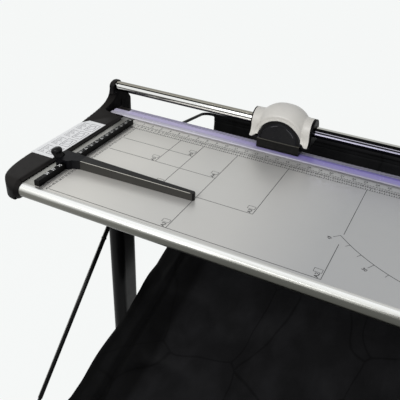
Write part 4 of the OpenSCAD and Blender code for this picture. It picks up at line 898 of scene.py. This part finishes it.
def lettering(bm, words, at, height, turn=0.0, z=PRINT_Z):
    """Flat figures, centred on a point of the table's frame, in millimetres."""
    font = bpy.data.curves.new("figures", "FONT")
    font.body = words
    font.size = height * MM / 0.7
    font.align_x = "CENTER"
    font.align_y = "CENTER"
    font.resolution_u = 2
    font.offset = height * MM * 0.02
    text = bpy.data.objects.new("figures", font)
    mesh = bpy.data.meshes.new_from_object(text)
    mesh.transform(Matrix.Translation((at[0] * MM + RULER_X, at[1] * MM + CUT_Y, z))
                   @ Matrix.Rotation(math.radians(turn), 4, "Z"))
    bm.from_mesh(mesh)
    bpy.data.objects.remove(text)
    bpy.data.curves.remove(font)
    bpy.data.meshes.remove(mesh)


FORMATS = ((210, 148, "A5"), (148, 210, "A5"), (297, 210, "A4"), (210, 297, "A4"),
           (420, 297, "A3"), (297, 420, "A3"), (594, 420, "A2"))
LINE_W = 1.2
# Where the format lines start below the scales and beside the ruler's ticks, and the gap in the largest one's
FORMAT_TOP, FORMAT_LEFT, ARC_GAP = -92, 24, (-274, -309)
# A format's name and the small frame beside it, from the format's corner and from the name
NAME_AT, NAME_H = (-9, 8), 8
NAME_FRAME, FRAME_W = ((-9, 8), (6, 8), (6, 18), (-9, 18)), 0.8
# Lines of the inch and centimetre scales, from the cut, and where the scales end
RULE_TOP, INCH_Y, CM_Y, RULE_END = -52, -71, -91, 1310
RULE_W, FIGURE_H, QUARTER_INCH = 0.7, 6.5, 6.35
# Ticks beside the ruler: where they start, their two lengths' ends and their figures' place
SIDE_FROM, SIDE_LONG, SIDE_SHORT, SIDE_FIGURE = 2.6, 14, 9.5, 19.5
ARC_AT, ARC_OUT = Vector((844, -25)), 360


def outline(bm, corners, width, z=PRINT_Z):
    """Closed line round some corners."""
    for a, b in zip(corners, corners[1:] + corners[:1]):
        line(bm, a, b, width, z)


def board_print():
    """Sheet formats with their name frames, two scales along the cut, ticks by the ruler and an angle arc."""
    bm = bmesh.new()
    for width, depth, words in FORMATS:
        # The angle arc ends in the gap of the largest format's line
        ends = (FORMAT_TOP, *ARC_GAP, -depth) if words == "A2" else (FORMAT_TOP, -depth)
        for start, end in zip(ends[::2], ends[1::2]):
            line(bm, (width, start), (width, end), LINE_W)
        line(bm, (FORMAT_LEFT, -depth), (width, -depth), LINE_W)
        x, y = width + NAME_AT[0], -depth + NAME_AT[1]
        lettering(bm, words, (x, y), NAME_H, 90)
        outline(bm, [(x + a, y + b) for a, b in NAME_FRAME], FRAME_W)
    for cm in range(132):
        x = cm * 10
        line(bm, (x, CM_Y), (x, CM_Y + (8 if cm % 10 == 0 else 6)), 1.5)
        line(bm, (x + 5, CM_Y), (x + 5, CM_Y + 4), 1.3)
        if cm:
            lettering(bm, str(cm), (x, CM_Y + 12.5), FIGURE_H)
    for quarter in range(207):
        x = quarter * QUARTER_INCH
        line(bm, (x, INCH_Y), (x, INCH_Y + (6 if quarter % 4 == 0 else 3)), LINE_W)
        if quarter % 4 == 0 and quarter:
            lettering(bm, str(quarter // 4), (x, INCH_Y + 11), FIGURE_H)
    for y in (RULE_TOP, INCH_Y, CM_Y):
        line(bm, (0, y), (RULE_END, y), RULE_W)
    # Printed ticks, set close and wide enough that together they also stand for painted shade along the foot
    # of the ruler.
    for tick in range(42, 214):
        y = -tick * 2
        line(bm, (SIDE_FROM, y), (SIDE_LONG if tick % 2 else SIDE_SHORT, y), LINE_W)
        if tick % 5 == 0:
            lettering(bm, str(tick // 5), (SIDE_FIGURE, y), 6, 90)
    steps = [math.radians(a) for a in range(45, 136)]
    points = [ARC_AT - ARC_OUT * Vector((math.cos(a), math.sin(a))) for a in steps]
    for a, b in zip(points, points[1:]):
        line(bm, a, b, LINE_W)
    for degrees in range(45, 140, 5):
        way = Vector((math.cos(math.radians(degrees)), math.sin(math.radians(degrees))))
        line(bm, ARC_AT - way * ARC_OUT, ARC_AT - way * (ARC_OUT + (16 if degrees % 15 == 0 else 10)), 0.9)
        if degrees % 15 == 0:
            lettering(bm, str(abs(90 - degrees)), ARC_AT - way * (ARC_OUT + 24), 7, degrees - 90)
    return piece("board_print", bm, "ink", "table_stand", smooth=False)


def ruler_scale():
    """Plain white ticks and figures on the outer half of the ruler's top."""
    low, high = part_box("side_ruler")
    top, left = high.z + INK_UP, (low.x - RULER_X) / MM
    bm = bmesh.new()
    for mm in range(80, 300, 10):
        line(bm, (left + 3, -mm), (left + 5.5, -mm), LINE_W, top)
        if mm % 20 == 0:
            lettering(bm, str(mm // 10), (left + 8.4, -mm), 5, 90, top)
    for mm in range(350, 400, 20):
        lettering(bm, str(mm // 10), (left + 6.6, -mm), 7.5, 90, top)
    return piece("ruler_scale", bm, "white_ink", "table_stand", smooth=False)


def label_marks():
    """Plain panels and rows of strokes on the label plate."""
    low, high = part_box("label_plate")
    top = high.z + INK_UP
    x0, y0 = (low.x - RULER_X) / MM, (low.y - CUT_Y) / MM
    panel, inner = ((31, 0), (55, 0), (55, 36), (31, 36)), ((35, 6), (50, 14), (47, 30), (36, 24))
    bm = bmesh.new()
    for i in range(4):
        y = y0 + 12 + i * 46
        for row in range(7):
            line(bm, (x0 + 8, y + row * 5.5), (x0 + 26 - 4 * (row % 3), y + row * 5.5), 1.3, top)
        for shape in (panel, inner):
            outline(bm, [(x0 + a, y + b) for a, b in shape], LINE_W, top)
    return piece("label_marks", bm, "faint_ink", "table_stand", smooth=False)


for make in (ruler_scale, label_marks, board_print):
    thicken(make(), INK_T, 1.0)


# Floor and light

def white_room(tree, plain, strength):
    """A surface or world that cameras, mirrors and glass see as white."""
    path = tree.nodes.new("ShaderNodeLightPath")
    seen = path.outputs["Is Camera Ray"]
    for ray in ("Is Glossy Ray", "Is Transmission Ray"):
        either = tree.nodes.new("ShaderNodeMath")
        either.operation = "MAXIMUM"
        tree.links.new(seen, either.inputs[0])
        tree.links.new(path.outputs[ray], either.inputs[1])
        seen = either.outputs["Value"]
    share = tree.nodes.new("ShaderNodeMath")
    share.operation = "MULTIPLY"
    share.inputs[1].default_value = strength
    tree.links.new(seen, share.inputs[0])
    mix = tree.nodes.new("ShaderNodeMixShader")
    tree.links.new(share.outputs["Value"], mix.inputs["Fac"])
    tree.links.new(plain, mix.inputs[1])
    return mix


WHITE = (0.93, 0.947, 0.94, 1)

world = bpy.data.worlds.new("studio")
scene.world = world
world.use_nodes = True
sky = world.node_tree
plain_sky = sky.nodes["Background"]
plain_sky.inputs["Color"].default_value = (0.95, 0.97, 1.0, 1)
plain_sky.inputs["Strength"].default_value = 0.42
white_sky = sky.nodes.new("ShaderNodeBackground")
white_sky.inputs["Color"].default_value = WHITE
mixed_sky = white_room(sky, plain_sky.outputs["Background"], 1.0)
sky.links.new(white_sky.outputs["Background"], mixed_sky.inputs[2])
sky.links.new(mixed_sky.outputs["Shader"], sky.nodes["World Output"].inputs["Surface"])

ground = bmesh.new()
bmesh.ops.create_grid(ground, x_segments=1, y_segments=1, size=14)
floor_mesh = bpy.data.meshes.new("floor")
ground.to_mesh(floor_mesh)
ground.free()
floor = bpy.data.objects.new("floor", floor_mesh)
scene.collection.objects.link(floor)
pale = bpy.data.materials.new("pale_floor")
pale.use_nodes = True
room = pale.node_tree
matt = room.nodes["Principled BSDF"]
matt.inputs["Base Color"].default_value = (0.82, 0.82, 0.81, 1)
matt.inputs["Roughness"].default_value = 0.9
glow = room.nodes.new("ShaderNodeEmission")
glow.inputs["Color"].default_value = WHITE
mixed_floor = white_room(room, matt.outputs["BSDF"], 0.97)
room.links.new(glow.outputs["Emission"], mixed_floor.inputs[2])
room.links.new(mixed_floor.outputs["Shader"], room.nodes["Material Output"].inputs["Surface"])
floor_mesh.materials.append(pale)


def softbox(name, at, aim, size, watts):
    """A rectangular lamp turned towards a point."""
    lamp = bpy.data.lights.new(name, "AREA")
    lamp.shape = "RECTANGLE"
    lamp.size, lamp.size_y = size
    lamp.energy = watts
    box = bpy.data.objects.new(name, lamp)
    box.location = at
    box.rotation_euler = (Vector(aim) - Vector(at)).to_track_quat("-Z", "Y").to_euler()
    scene.collection.objects.link(box)


softbox("key", (-0.8, -2.2, 2.6), (-0.2, 0, 0.87), (1.6, 1.2), 48)
softbox("fill", (1.6, -1.8, 2.2), (0, 0, 0.87), (1.2, 1.2), 5)
